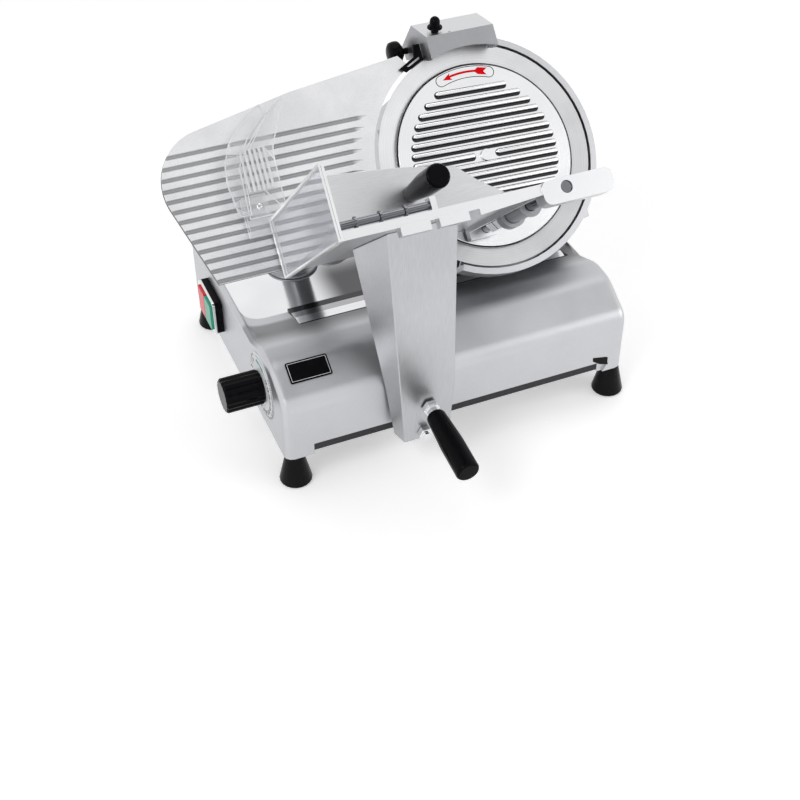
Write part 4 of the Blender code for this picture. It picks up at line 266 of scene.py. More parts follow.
CAST_PALE, CAST_DEEP, CAST_ROUGH = (0.60, 0.605, 0.625), (0.53, 0.535, 0.553), 0.34
satin = cast_metal("satin_casting", CAST_PALE, CAST_DEEP, CAST_ROUGH)
base_skin = cast_metal("base_casting_skin", CAST_PALE, CAST_DEEP, CAST_ROUGH)
# a darker copy of the satin casting: painted shade for the gauge's yoke, post and boss and the
# pusher's sleeve and hub, which sit under the plates
shaded_cast_metal = cast_metal("shaded_casting", (0.42, 0.425, 0.44), (0.34, 0.345, 0.36), 0.40)
sharpener_metal = cast_metal("sharpener_casting", (0.40, 0.405, 0.42), (0.33, 0.335, 0.35), 0.30)
print("castings:", satin.name, base_skin.name, shaded_cast_metal.name, sharpener_metal.name)

# %% [markdown]
# Some faces of a casting or a sheet get a painted highlight: their colour turns paler
# where they look one way, to stand in for the light that falls on them. The surface's own
# direction picks them out: the sharpener's roof looks straight up.

# %% Faces with a painted highlight
HIGHLIGHT_FROM, HIGHLIGHT_TO, HIGHLIGHT_SHARE = 0.86, 0.97, 0.8


def bright_faces(material, pale, direction):
    wire, sockets, fed = worked_on(material)
    # painted highlight: the colour turns pale on faces that look the given way
    share = facing(wire, direction).between(HIGHLIGHT_FROM, HIGHLIGHT_TO) * HIGHLIGHT_SHARE
    link(blend(wire, share, fed("Base Color"), pale), sockets["Base Color"])


bright_faces(sharpener_metal, (0.74, 0.745, 0.76), UPWARDS)
print("roof brightened on", sharpener_metal.name)

# %% [markdown]
# The base is one casting with several skins. Its deck is polished bright, and towards the
# blade it gets a painted dark reflection. The step under the front skirt gets painted shade,
# and so does the beam's crest, darker towards the deck. The rest is satin. Each skin is a
# mask of the place and the direction of the surface.

# %% The base's deck, its painted reflection, and the painted shade of its step and crest
DECK_LEVEL = 0.118
DECK_POLISH = (0.76, 0.765, 0.775), (0.90, 0.905, 0.915)
REFLECTION_START, REFLECTION_END, REFLECTION_REAR, REFLECTION_DEPTH = -0.085, -0.045, 0.070, 0.90
REFLECTION_COLOUR = (0.03, 0.03, 0.033)
SKIRT_LEVEL = 0.0578
STEP_FRONT, STEP_BACK = -0.1330, -0.1300
STEP_LEFT, STEP_RIGHT = -0.1535, 0.2047
STEP_SHADE = (0.07, 0.07, 0.075)
CREST_FRONT, CREST_BACK, CREST_END = -0.060, -0.022, 0.010
CREST_LEVEL = SKIRT_LEVEL * 2
CREST_SHADE, CREST_SHADE_SHARE = (0.10, 0.10, 0.108), 0.6
DECK_FACING, CREST_FACING = (0.85, 0.95), (0.3, 0.8)
CLOUD_SCALE, DECK_HAIR_SCALE, DECK_HAIR_STRETCH = 9, 1500, (60, 1, 1)


def base_zones(material):
    """Mixes the polish, the painted dark reflection and the painted shade into the base's colours.
    """
    wire, sockets, fed = worked_on(material)
    x, y, z = axes(wire, "XYZ", wire.node("ShaderNodeTexCoord", output="Object"))
    level = facing(wire, UPWARDS)
    deck = z.between(DECK_LEVEL - MM, DECK_LEVEL - MM / 2) * level.between(*DECK_FACING) * (
        1 - z.between(DECK_LEVEL + MM / 4, DECK_LEVEL + MM))
    # painted shade in the step under the front skirt
    step = (1 - z.between(SKIRT_LEVEL - MM / 2, SKIRT_LEVEL)) * y.between(
        STEP_FRONT - MM / 2, STEP_FRONT) * (1 - y.between(STEP_BACK, STEP_BACK + MM))
    step = step * x.between(STEP_LEFT, STEP_LEFT + MM) * (
        1 - x.between(STEP_RIGHT - MM, STEP_RIGHT))
    # painted shade on the beam's crest, growing towards the deck
    crest_shade = y.between(CREST_FRONT, CREST_BACK) * (1 - y.between(0.0, CREST_END)) * z.between(
        CREST_LEVEL, CREST_LEVEL + MM) * level.between(*CREST_FACING) * (1 - deck)
    clouds = noise(wire, CLOUD_SCALE, detail=2).between(0.3, 0.7)
    hair = noise(wire, DECK_HAIR_SCALE, place(wire, stretch=DECK_HAIR_STRETCH), detail=2)
    # painted dark reflection on the deck, towards the blade
    dark_reflection = x.between(REFLECTION_START, REFLECTION_END) * (1 - y.between(REFLECTION_REAR, REFLECTION_REAR * 2))
    polish = blend(wire, clouds * 0.7 + hair * 0.3, *DECK_POLISH)
    polish = blend(wire, dark_reflection * REFLECTION_DEPTH, polish, REFLECTION_COLOUR)
    colour = blend(wire, crest_shade * CREST_SHADE_SHARE, fed("Base Color"), CREST_SHADE)
    colour = blend(wire, deck, colour, polish)
    rough = fed("Roughness") * (1 - deck) + deck * (0.08 + clouds * 0.06) + step * 0.3
    link(blend(wire, step, colour, STEP_SHADE), sockets["Base Color"])
    link(rough, sockets["Roughness"])


base_zones(base_skin)
print("skins mixed on", base_skin.name)

# %% [markdown]
# ## Brushed sheet
# The arm, the tray, the pusher and the strip are drawn through a brushing belt. The grain
# is a noise squeezed to hair lines: very fine across the belt, and long along it.

# %% Brushed sheet
HAIR_SCALE, HAIR_LENGTH, HAIR_DEPTH = 2600, 40, 0.02 * MM
LEFT_TO_RIGHT, BOTTOM_TO_TOP = 0, 2


def brushed(name, pale, deep, rough, along):
    material, wire, sockets = finish(name, pale, Metallic=1.0)
    stretch = [HAIR_LENGTH if axis == along else 1 for axis in range(3)]
    hair = noise(wire, HAIR_SCALE, place(wire, stretch=stretch), detail=3)
    drift = noise(wire, CLOUD_SCALE, detail=3).between(0.3, 0.7)
    shade = hair.between(0.3, 0.7) * 0.6 + drift * 0.4
    link(blend(wire, shade, deep, pale), sockets["Base Color"])
    link(rough + hair * 0.12, sockets["Roughness"])
    link(bump(wire, hair, HAIR_DEPTH), sockets["Normal"])
    return material


arm_metal = brushed("brushed_arm", (0.56, 0.565, 0.58), (0.45, 0.455, 0.47), 0.30, BOTTOM_TO_TOP)
tray_metal = brushed("brushed_tray", (0.68, 0.685, 0.70), (0.56, 0.565, 0.58), 0.24, LEFT_TO_RIGHT)
push_metal = brushed("brushed_pusher", (0.70, 0.705, 0.72), (0.57, 0.575, 0.59), 0.24,
                     LEFT_TO_RIGHT)
deck_metal = brushed("brushed_strip", (0.88, 0.885, 0.90), (0.74, 0.745, 0.76), 0.10,
                     LEFT_TO_RIGHT)
# painted highlight on the tray's faces that look outward from the blade's slope
bright_faces(tray_metal, (0.86, 0.865, 0.88), OUTWARD)
print("brushed:", arm_metal.name, tray_metal.name, push_metal.name, deck_metal.name)

# %% [markdown]
# The strip between the beam and the deck goes down in three treads. Its lip, its upright
# faces and the lower treads get painted shade; only the top tread keeps its bright colour.

# %% Painted shade on the treads of the strip
TREAD_LOW, TREAD_HIGH = 0.1222, 0.1288
TREAD_SHADE, RISER_SHADE = (0.07, 0.07, 0.075), (0.05, 0.05, 0.055)
LIP_FRONT = -0.0132


def dark_treads(material):
    wire, sockets, fed = worked_on(material)
    y, z = axes(wire, "YZ", wire.node("ShaderNodeTexCoord", output="Object"))
    # painted shade on the lower treads, then on the lip and the upright faces
    treads = blend(wire, z.between(TREAD_LOW, TREAD_HIGH), TREAD_SHADE, fed("Base Color"))
    faces = facing(wire, UPWARDS).between(0.5, 0.95) * y.between(LIP_FRONT, LIP_FRONT + MM / 2)
    link(blend(wire, faces, RISER_SHADE, treads), sockets["Base Color"])


dark_treads(deck_metal)
print("treads darkened on", deck_metal.name)

# %% [markdown]
# ## Turned metal
# The blade, its cover and its ring were turned on a lathe, so their marks are circles round
# the blade's axis. The distance from that axis drives a noise, and the rings follow.

# %% Turned and ground metal
RING_SCALE, RING_DEPTH, SMEAR_SCALE = 900, 0.006 * MM, 30


def turned(name, pale, deep, rough):
    material, wire, sockets = finish(name, pale, Metallic=1.0)
    spot = place(wire, BLADE_CENTRE, BLADE_TURN)
    flat = wire.node("ShaderNodeVectorMath", {"operation": "MULTIPLY"}, {0: spot, 1: (1, 1, 0)})
    radius = wire.node("ShaderNodeVectorMath", {"operation": "LENGTH"}, {0: flat}, output="Value")
    rings = wire.node("ShaderNodeTexNoise", {"noise_dimensions": "1D"},
                      {"W": radius, "Scale": RING_SCALE, "Detail": 4.0})
    smear = noise(wire, SMEAR_SCALE, detail=3).between(0.35, 0.65)
    shade = rings.between(0.3, 0.7) * 0.7 + smear * 0.3
    link(blend(wire, shade, deep, pale), sockets["Base Color"])
    link(rough + rings * 0.10 + smear * 0.04, sockets["Roughness"])
    link(bump(wire, rings, RING_DEPTH), sockets["Normal"])
    return material


blade_metal = turned("ground_blade", (0.70, 0.705, 0.715), (0.58, 0.585, 0.595), 0.30)
disc_metal = turned("polished_cover", (0.88, 0.885, 0.895), (0.80, 0.805, 0.815), 0.14)
print("turned:", blade_metal.name, disc_metal.name)

# %% [markdown]
# ## Metal with painted shade in its lines
# The grooves of the plate and the feet of the ribs get painted shade, darker than the
# faces. The height above the blade's plane tells them apart: each finish below is bright
# at its own level and dark at another, and the lower flank of a rib is the darkest.

# %% Grooved plate and ribs
GRAIN_SCALE, GRAIN_DEPTH = 1300, 0.02 * MM
SHADED_FLANK_FROM, SHADED_FLANK_TO = 0.15, 0.8


def lined(name, pale, deep, dark, rough, low, high, flank=0.0):
    """Bright above the height high and painted shade below low, both in metres off the blade's
    plane.
    """
    material, wire, sockets = finish(name, pale, Metallic=1.0)
    height, = axes(wire, "Z", place(wire, BLADE_CENTRE, BLADE_TURN))
    shine = height.between(low, high)
    # painted shade on the lower flank of a rib, the side that faces down the slope
    shade = shine * (1 - facing(wire, -SLOPE).between(SHADED_FLANK_FROM, SHADED_FLANK_TO) * flank)
    drift = noise(wire, DRIFT_SCALE, detail=4, roughness=0.6).between(0.3, 0.7)
    grain = noise(wire, GRAIN_SCALE, detail=3, roughness=0.6)
    face = blend(wire, drift * 0.6 + grain.between(0.35, 0.65) * 0.4, deep, pale)
    link(blend(wire, shade, dark, face), sockets["Base Color"])
    link(rough + grain * 0.10 + (1 - shine) * 0.15, sockets["Roughness"])
    link(bump(wire, grain, GRAIN_DEPTH), sockets["Normal"])
    return material


plate_metal = lined("grooved_plate", (0.90, 0.905, 0.92), (0.72, 0.725, 0.74),
                    (0.10, 0.10, 0.105), 0.24, -2.3 * MM, -0.5 * MM)
rib_metal = lined("rib_polish_and_shade", (0.92, 0.925, 0.935), (0.86, 0.865, 0.875),
                  (0.02, 0.02, 0.022), 0.12, 2.1 * MM, 3.4 * MM, 0.9)
print("lined:", plate_metal.name, rib_metal.name)

# %% [markdown]
# ## Plated and dark metal
# Rods and nuts are plated and shine like mirrors, with only a few fingermarks. The tray's
# and the pusher's rods get a darkened chrome, a painted dark reflection. The hidden parts
# are plain dark steel, and a near-black steel is the painted shadow beside each rib.

# %% Chrome and dark steel
FINGER_SCALE = 60


def plated(name, colour, rough, smear):
    material, wire, sockets = finish(name, colour, Metallic=1.0)
    marks = noise(wire, FINGER_SCALE, detail=4, roughness=0.7).between(0.45, 0.75)
    link(rough + marks * smear, sockets["Roughness"])
    shade = blend(wire, marks * 0.4, colour, [part * 0.85 for part in colour])
    link(shade, sockets["Base Color"])
    return material


chrome = plated("bright_chrome", (0.78, 0.785, 0.795), 0.05, 0.10)
# a darkened chrome: painted dark reflection on the tray's and the pusher's rods
dark_reflection_chrome = plated("dark_reflection_chrome", (0.20, 0.205, 0.22), 0.10, 0.12)
dark_steel = plated("hidden_steel", (0.10, 0.10, 0.108), 0.35, 0.20)
# near-black steel for the painted shadow beside each rib
rib_shadow_metal = plated("rib_foot", (0.045, 0.045, 0.05), 0.4, 0.2)
steel = plated("plain_steel", (0.62, 0.62, 0.63), 0.22, 0.18)
print("plated:", chrome.name, dark_reflection_chrome.name, dark_steel.name, steel.name)

# %% [markdown]
# ## Black grips, rubber and paint
# The grips are pressed black plastic with a deep gloss, the feet a softer rubber. Each
# gets a faint orange-peel bump, so that its highlights aren't perfect. The studio is white
# all round, so the blacks have a low index of refraction: they would look grey otherwise.

# %% Plastics
PEEL_DEPTH, PEEL_SCALE, SCUFF_SCALE = 0.02 * MM, 260, 45


def plastic(name, colour, rough, peel=PEEL_DEPTH, scale=PEEL_SCALE, wear=0.12, **constants):
    material, wire, sockets = finish(name, colour, **constants)
    skin = noise(wire, scale, detail=2)
    scuffs = noise(wire, SCUFF_SCALE, detail=5, roughness=0.75).between(0.5, 0.8)
    worn = [part * 0.8 + 0.01 for part in colour]
    link(rough + scuffs * wear, sockets["Roughness"])
    link(blend(wire, scuffs * 0.5, colour, worn), sockets["Base Color"])
    link(bump(wire, skin, peel), sockets["Normal"])
    return material


gloss_black = plastic("gloss_black", (0.003, 0.003, 0.004), 0.12, wear=0.08, IOR=1.14)
rubber = plastic("foot_rubber", (0.004, 0.004, 0.005), 0.22, 0.04 * MM, 600, 0.08, IOR=1.20)
teal = plastic("teal_print", (0.0, 0.30, 0.24), 0.4)
white_print = plastic("dial_white", (0.82, 0.83, 0.85), 0.35)
red = plastic("signal_red", (0.74, 0.02, 0.03), 0.28)
arrow_red = plastic("arrow_red", (0.86, 0.0, 0.006), 0.5, Specular_IOR_Level=0.1)
green = plastic("signal_green", (0.01, 0.36, 0.22), 0.28)
ink = plastic("ink", (0.03, 0.03, 0.035), 0.5)
stone = plastic("abrasive", (0.26, 0.25, 0.24), 0.85, 0.4 * MM, 2200, 0.1)
belt = plastic("belt_rubber", (0.02, 0.02, 0.02), 0.65, 0.1 * MM, 900)
print("plastics:", gloss_black.name, rubber.name, white_print.name, arrow_red.name)

# %% [markdown]
# ## Clear guards
# Moulded acrylic of a few millimetres is best shown as a thin, slightly milky skin that
# lets the metal behind it through. Fine scratches make it milkier in places. Its cut edges
# get a painted highlight, an almost white plastic for the light that they catch.

# %% Clear plastic
SCRATCH_SCALE, SCRATCH_TURN, SCRATCH_STRETCH = 900, (0.4, 0.2, 0.3), (30, 1, 1)
HAZE_SCALE, WAVE_DEPTH = 22, 0.2 * MM


def acrylic(name, colour, veil):
    """Clear plastic that hides at least the share veil of what lies behind it."""
    material, wire, sockets = finish(name, colour, Specular_IOR_Level=0.6)
    scratches = noise(wire, SCRATCH_SCALE, place(wire, turn=SCRATCH_TURN, stretch=SCRATCH_STRETCH),
                      detail=4)
    haze = noise(wire, HAZE_SCALE, detail=4).between(0.35, 0.75)
    link(veil + scratches.between(0.55, 0.8) * 0.05 + haze * 0.06, sockets["Alpha"])
    link(0.04 + haze * 0.08, sockets["Roughness"])
    link(bump(wire, haze, WAVE_DEPTH), sockets["Normal"])
    return material


clear = acrylic("clear_guard", (0.90, 0.92, 0.94), 0.16)
milky = acrylic("milky_guard", (0.60, 0.61, 0.67), 0.38)
edge_highlight = acrylic("bright_edge", (0.97, 0.975, 0.98), 0.66)
side_highlight = acrylic("side_highlight", (0.97, 0.975, 0.98), 0.92)
print("clear:", clear.name, milky.name, edge_highlight.name, side_highlight.name)

# %% [markdown]
# ## Dressing a solid
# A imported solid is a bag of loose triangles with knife-sharp edges. Real castings and sheets
# have small radii that catch the light. So each solid is copied, its triangles are joined
# back to flat faces, its sharp edges get a small round, and the copy stands for the solid.

# %% Flat faces and objects
WELD = 0.01 * MM
FLAT_BELOW, SMOOTH_BELOW = 0.6, 32


def flat_faces(solid, flat_below):
    """A solid's mesh with its triangles joined where they meet at less than some degrees."""
    mesh = bmesh.new()
    mesh.from_mesh(solid.data)
    bmesh.ops.remove_doubles(mesh, verts=mesh.verts, dist=WELD)
    bmesh.ops.dissolve_limit(mesh, angle_limit=math.radians(flat_below), verts=mesh.verts,
                             edges=mesh.edges, delimit=set())
    return mesh


def as_object(name, mesh, materials, smooth):
    """An object from a mesh, shaded smooth where faces meet at less than some degrees."""
    data = bpy.data.meshes.new(name)
    mesh.to_mesh(data)
    mesh.free()
    data.shade_smooth()
    data.set_sharp_from_angle(angle=math.radians(smooth))
    for material in materials:
        data.materials.append(material)
    made = bpy.data.objects.new(name, data)
    bpy.context.scene.collection.objects.link(made)
    return made


print("triangles joined below", FLAT_BELOW, "degrees")

# %% [markdown]
# A round of three steps is enough at this size. After it the normals are weighted by the
# size of the faces, so that the flat faces still look flat beside their rounded edges.

# %% Dress a solid
SHARP_FROM, ROUND_STEPS = 28, 3


def dress(name, material, radius):
    """A copy of a solid with joined faces and rounded edges, which replaces it."""
    source = nodes[name]
    mesh = flat_faces(source, FLAT_BELOW)
    if radius:
        sharp = [edge for edge in mesh.edges if len(edge.link_faces) == 2
                 and edge.calc_face_angle(0) > math.radians(SHARP_FROM)]
        bmesh.ops.bevel(mesh, geom=sharp, offset=radius, segments=ROUND_STEPS, affect="EDGES",
                        profile=0.5, material=-1, clamp_overlap=True)
    made = as_object(f"{name}_dress", mesh, [material], SMOOTH_BELOW)
    even = made.modifiers.new("even_normals", "WEIGHTED_NORMAL")
    even.keep_sharp = True
    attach(made, source["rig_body"])
    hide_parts(name)
    return made


print("sharp edges begin at", SHARP_FROM, "degrees")

# %% [markdown]
# The list gives each solid its finish and the radius of its edges in metres. Rods, the
# belt and the blade keep their edges as they are. The lock knob isn't in the list, because
# it gets a rounder shape further down.

# %% Every solid and its finish
DRESSES = {
    "base_casting": (base_skin, 0.0012), "badge_plate": (gloss_black, 0.0002),
    "bottom_cover": (steel, 0.0003), "deck_strip": (deck_metal, 0.0004),
    "foot_front_left": (rubber, 0.0008), "foot_front_right": (rubber, 0.0008),
    "foot_rear_left": (rubber, 0.0008), "foot_rear_right": (rubber, 0.0008),
    "switch_housing": (gloss_black, 0.0005), "switch_bezel": (chrome, 0.0004),
    "start_button": (green, 0.0006), "stop_button": (red, 0.0006),
    "cable_gland": (gloss_black, 0.0004), "guide_bar": (dark_steel, 0.0003),
    "carriage_rod": (chrome, 0.0), "dial_plate": (white_print, 0.0002),
    "knob_spindle": (steel, 0.0), "thickness_knob": (gloss_black, 0.0003),
    "blade_housing": (satin, 0.0008), "blade_bearing": (steel, 0.0003),
    "blade_cover": (disc_metal, 0.0003), "pedestal": (satin, 0.001),
    "motor_cover": (satin, 0.0015), "motor": (dark_steel, 0.0006),
    "motor_pulley": (steel, 0.0003), "drive_belt": (belt, 0.0),
    "driven_pulley": (steel, 0.0003), "blade": (blade_metal, 0.0),
    "blade_shaft": (steel, 0.0003), "slice_deflector": (tray_metal, 0.0004),
    "gauge_plate": (plate_metal, 0.0003), "gauge_rod": (chrome, 0.0),
    "gauge_yoke": (shaded_cast_metal, 0.001), "gauge_post": (shaded_cast_metal, 0.001),
    "gauge_boss": (shaded_cast_metal, 0.0006),
    "slide_block": (satin, 0.001), "carriage_arm": (arm_metal, 0.001),
    "arm_bolt": (chrome, 0.0005), "handle": (gloss_black, 0.0008),
    "handle_nut": (chrome, 0.0005), "tray": (tray_metal, 0.0005), "tray_rod": (dark_reflection_chrome, 0.0),
    "side_plate": (milky, 0.0004), "wing_bracket": (clear, 0.0004),
    "wing_guard": (clear, 0.0004), "pusher_sleeve": (shaded_cast_metal, 0.0003),
    "pusher_rod": (dark_reflection_chrome, 0.0), "pusher_nut_inner": (chrome, 0.0004),
    "pusher_nut_outer": (chrome, 0.0004), "pusher_hub": (shaded_cast_metal, 0.0006),
    "pusher_plate": (push_metal, 0.0006), "spike_plate": (push_metal, 0.0003),
    "pusher_grip": (gloss_black, 0.0008), "sharpener_cover": (sharpener_metal, 0.0028),
    "sharpener_rod": (chrome, 0.0), "sharpener_foot": (satin, 0.0006),
    "grinding_stone": (stone, 0.0003), "honing_stone": (stone, 0.0003),
    "sharpener_button": (gloss_black, 0.0004),
}
dressed = {name: dress(name, material, radius) for name, (material, radius) in DRESSES.items()}
print(len(dressed), "solids dressed,", len(nodes) - len(dressed), "made anew below")

# %% [markdown]
# ## How a small piece is made
# Each piece is finished in the mesh itself and its object stays at the origin. `settle`
# moves the mesh to its seat and gives it its finishes and its body, and `join` first adds
# one mesh to another. Many seats lie on the blade's slope, so that one has a name.

# %% Settle and join
SLOPED = Matrix.Translation(BLADE_CENTRE) @ Matrix.Rotation(BLADE_TURN[0], 4, "X")


def settle(name, mesh, materials, body, seat=Matrix(), smooth=SMOOTH_BELOW):
    """Makes a finished object from a bmesh, on the body that it moves with."""
    bmesh.ops.transform(mesh, matrix=seat, verts=mesh.verts)
    bmesh.ops.recalc_face_normals(mesh, faces=mesh.faces)
    made = as_object(name, mesh, materials, smooth)
    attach(made, body)
    return made


def join(target, other, seat=Matrix(), finish_index=0):
    """Adds one bmesh to another, at its seat and with its slot of the material list."""
    bmesh.ops.transform(other, matrix=seat, verts=other.verts)
    for face in other.faces:
        face.material_index = finish_index
    data = bpy.data.meshes.new("joined")
    other.to_mesh(data)
    other.free()
    target.from_mesh(data)
    bpy.data.meshes.remove(data)


print("seat on the slope at", [round(value, 4) for value in SLOPED.translation])

# %% [markdown]
# What is round about an axis is turned on a lathe, so that only its profile is typed.

# %% Lathe
SEAM = 0.001 * MM


def lathe(profile, steps):
    """A closed solid from radius and height pairs, turned about the z axis."""
    mesh = bmesh.new()
    points = [mesh.verts.new((radius, 0, height)) for radius, height in profile]
    edges = [mesh.edges.new(pair) for pair in zip(points, points[1:])]
    bmesh.ops.spin(mesh, geom=points + edges, cent=(0, 0, 0), axis=(0, 0, 1), dvec=(0, 0, 0),
                   angle=math.tau, steps=steps, use_merge=True)
    bmesh.ops.remove_doubles(mesh, verts=mesh.verts, dist=SEAM)
    return mesh


print("lathe ready")

# %% [markdown]
# What is flat is cut from sheet along its outline. A word is cut the same way, because its
# letters are outlines too.

# %% Sheet and words
BOLDER = 0.03


def from_curve(curve, thick, bevel=0.0):
    """A bmesh of a flat curve or of a word, with its sheet thickness."""
    curve.extrude = thick / 2 - bevel
    holder = bpy.data.objects.new(curve.name, curve)
    bpy.context.scene.collection.objects.link(holder)
    bpy.context.view_layer.update()
    graph = bpy.context.evaluated_depsgraph_get()
    data = bpy.data.meshes.new_from_object(holder.evaluated_get(graph))
    mesh = bmesh.new()
    mesh.from_mesh(data)
    bmesh.ops.remove_doubles(mesh, verts=mesh.verts, dist=SEAM)
    bpy.data.objects.remove(holder)
    bpy.data.curves.remove(curve)
    bpy.data.meshes.remove(data)
    return mesh


def sheet(outlines, thick, bevel=0.0):
    """A flat sheet from closed outlines: the ones inside another are its holes."""
    curve = bpy.data.curves.new("sheet", "CURVE")
    curve.dimensions = "2D"
    curve.fill_mode = "BOTH"
    curve.bevel_depth = bevel
    curve.bevel_resolution = 1
    for outline in outlines:
        spline = curve.splines.new("POLY")
        spline.points.add(len(outline) - 1)
        for point, (x, y) in zip(spline.points, outline):
            point.co = (x, y, 0, 1)
        spline.use_cyclic_u = True
    return from_curve(curve, thick, bevel)


def word(text, size, thick):
    """Plain figures cut from sheet, a little bolder than the built-in face."""
    curve = bpy.data.curves.new("word", "FONT")
    curve.offset = size * BOLDER
    curve.body = text
    curve.size = size
    curve.align_x = "CENTER"
    curve.align_y = "CENTER"
    curve.resolution_u = 2
    return from_curve(curve, thick)


print("sheet and words ready")

# %% [markdown]
# Outlines are lists of points, so an arc is one too. Angles are in degrees, because that
# is how a drawing gives them.

# %% Arcs
def polar(radius, degrees):
    return (radius * math.cos(math.radians(degrees)), radius * math.sin(math.radians(degrees)))


def arc(radius, start, end, steps):
    return [polar(radius, start + (end - start) * step / steps) for step in range(steps + 1)]


print("four steps of an arc have", len(arc(1, 0, 90, 4)), "points")

# %% [markdown]
# ## The blade's cover
# Thirteen rounded ribs run across the polished cover and shorten towards the rim. Each rib
# is a ball that is pulled out into a bar: its right half moves to the right end and its
# left half to the left. The ball's lowest part is cut off, since it would lie in the cover.

# %% A rib
RIB_HALF, RIB_TALL, RIB_RISE = 3.1 * MM, 3.1 * MM, 0.9 * MM
BALL_CUT = -0.2


def rib(low, high, v):
    """One rib of the cover, from low to high along the row at height v."""
    mesh = bmesh.new()
    bmesh.ops.create_uvsphere(mesh, u_segments=20, v_segments=10, radius=1)
    bmesh.ops.bisect_plane(mesh, geom=mesh.verts[:] + mesh.edges[:] + mesh.faces[:],
                           plane_co=(0, 0, BALL_CUT), plane_no=(0, 0, -1), clear_outer=True)
    rim = [edge for edge in mesh.edges if len(edge.link_faces) == 1]
    bmesh.ops.contextual_create(mesh, geom=rim)
    for vert in mesh.verts:
        end = high - RIB_HALF if vert.co.x > 0 else low + RIB_HALF
        vert.co = (end + vert.co.x * RIB_HALF, v + vert.co.y * RIB_HALF,
                   RIB_RISE + vert.co.z * RIB_TALL)
    return mesh


print("a rib is", round(RIB_HALF * 2 / MM, 1), "mm wide")

# %% [markdown]
# Along the lower side of each rib lies a band of painted shadow. It is a thin dark
# sheet with round ends, a little wider than the rib and a little lower on the cover.

# %% The painted shadow of a rib
SHADOW_HALF, SHADOW_DOWN, SHADOW_THICK, SHADOW_STEPS = 4.3 * MM, 1.3 * MM, 0.2 * MM, 10


def rib_foot(low, high, v):
    """The painted shadow of the rib from low to high along the row at height v."""
    ends = ((high - SHADOW_HALF, 270), (low + SHADOW_HALF - MM, 90))
    return sheet([[(x + px, v - SHADOW_DOWN + py) for x, start in ends
                   for px, py in arc(SHADOW_HALF, start, start + 180, SHADOW_STEPS)]], SHADOW_THICK)


print("its band is", round(SHADOW_HALF * 2 / MM, 1), "mm wide")

# %% [markdown]
# The rows are evenly spaced, and each ends at the edge of one round field, which is turned
# by two degrees with its cover. The sixth row from below is broken round the locking rod.

# %% Ribs of the cover
RIB_TOP, RIB_PITCH, RIB_ROWS = 75.6 * MM, 10.6 * MM, 13
RIB_FIELD, RIB_BREAK = 87.2 * MM, 12.5 * MM
COVER_FACE = 1.05 * MM
COVER_TURN = math.radians(-2)
RIB_SMOOTH = 50
ribs = bmesh.new()
for row in range(RIB_ROWS):
    v = RIB_TOP - row * RIB_PITCH
    reach = math.sqrt(RIB_FIELD ** 2 - v ** 2)
    broken = abs(v) < RIB_PITCH / 2
    for low, high in [(-reach, -RIB_BREAK), (RIB_BREAK, reach)] if broken else [(-reach, reach)]:
        join(ribs, rib(low, high, v))
        # the rib's painted shadow, in the second material slot
        join(ribs, rib_foot(low, high, v), Matrix.Translation((0, 0, COVER_FACE)), 1)
settle("cover_ribs", ribs, [rib_metal, rib_shadow_metal], "base",
       SLOPED @ Matrix.Rotation(COVER_TURN, 4, "Z"), RIB_SMOOTH)
print("ribs:", RIB_ROWS, "rows")

# %% [markdown]
# ## The seal round the cover
# A thin black ring lies in the gap between the cover and the blade. Its profile is a small
# rectangle, turned on the lathe in fine steps, because the gap shows every corner.

# %% Seal
SEAL_IN, SEAL_OUT, SEAL_LEVEL, SEAL_STEPS = 103.4 * MM, 104.2 * MM, 0.4 * MM, 96
seal = lathe([(SEAL_IN, -SEAL_LEVEL), (SEAL_OUT, -SEAL_LEVEL), (SEAL_OUT, SEAL_LEVEL),
              (SEAL_IN, SEAL_LEVEL), (SEAL_IN, -SEAL_LEVEL)], SEAL_STEPS)
settle("cover_seal", seal, [rubber], "base", SLOPED @ Matrix.Translation((0, 0, SEAL_LEVEL)))
print("seal,", round(SEAL_OUT * 2 / MM, 1), "mm across")

# %% [markdown]
# ## The arrow for the blade's turn
# Above the ribs a red arrow in a curved frame shows which way the blade turns. Both are
# thin inlays, cut from sheet. The frame is a long slot bent round the blade's axis, with a
# slightly smaller one cut out of it.

# %% Frame of the arrow
INLAY = 0.3 * MM
ON_COVER = SLOPED @ Matrix.Translation((0, 0, 1.1 * MM))
FRAME_LOW, FRAME_HIGH, FRAME_LINE = 88.6 * MM, 101.4 * MM, 0.7 * MM
FRAME_START, FRAME_END, FRAME_STEPS, END_STEPS = 72, 108, 24, 8


def curved_slot(inner, outer):
    """The outline of a long slot between two radii, with round ends."""
    half, middle = (outer - inner) / 2, (outer + inner) / 2
    outline = []
    for radius, start, end in ((outer, FRAME_START, FRAME_END), (inner, FRAME_END, FRAME_START)):
        heading = end if radius == outer else end + 180
        x, y = polar(middle, end)
        round_end = arc(half, heading, heading + 180, END_STEPS)[1:-1]
        outline += arc(radius, start, end, FRAME_STEPS)
        outline += [(x + px, y + py) for px, py in round_end]
    return outline


frame_lines = [curved_slot(FRAME_LOW, FRAME_HIGH),
               curved_slot(FRAME_LOW + FRAME_LINE, FRAME_HIGH - FRAME_LINE)]
settle("arrow_frame", sheet(frame_lines, INLAY), [gloss_black], "base", ON_COVER)
print("frame round the arrow")

# %% [markdown]
# The arrow's outline runs along the outer side of its shaft to the head, and back along the
# inner side to the tail, which is notched like a feather.

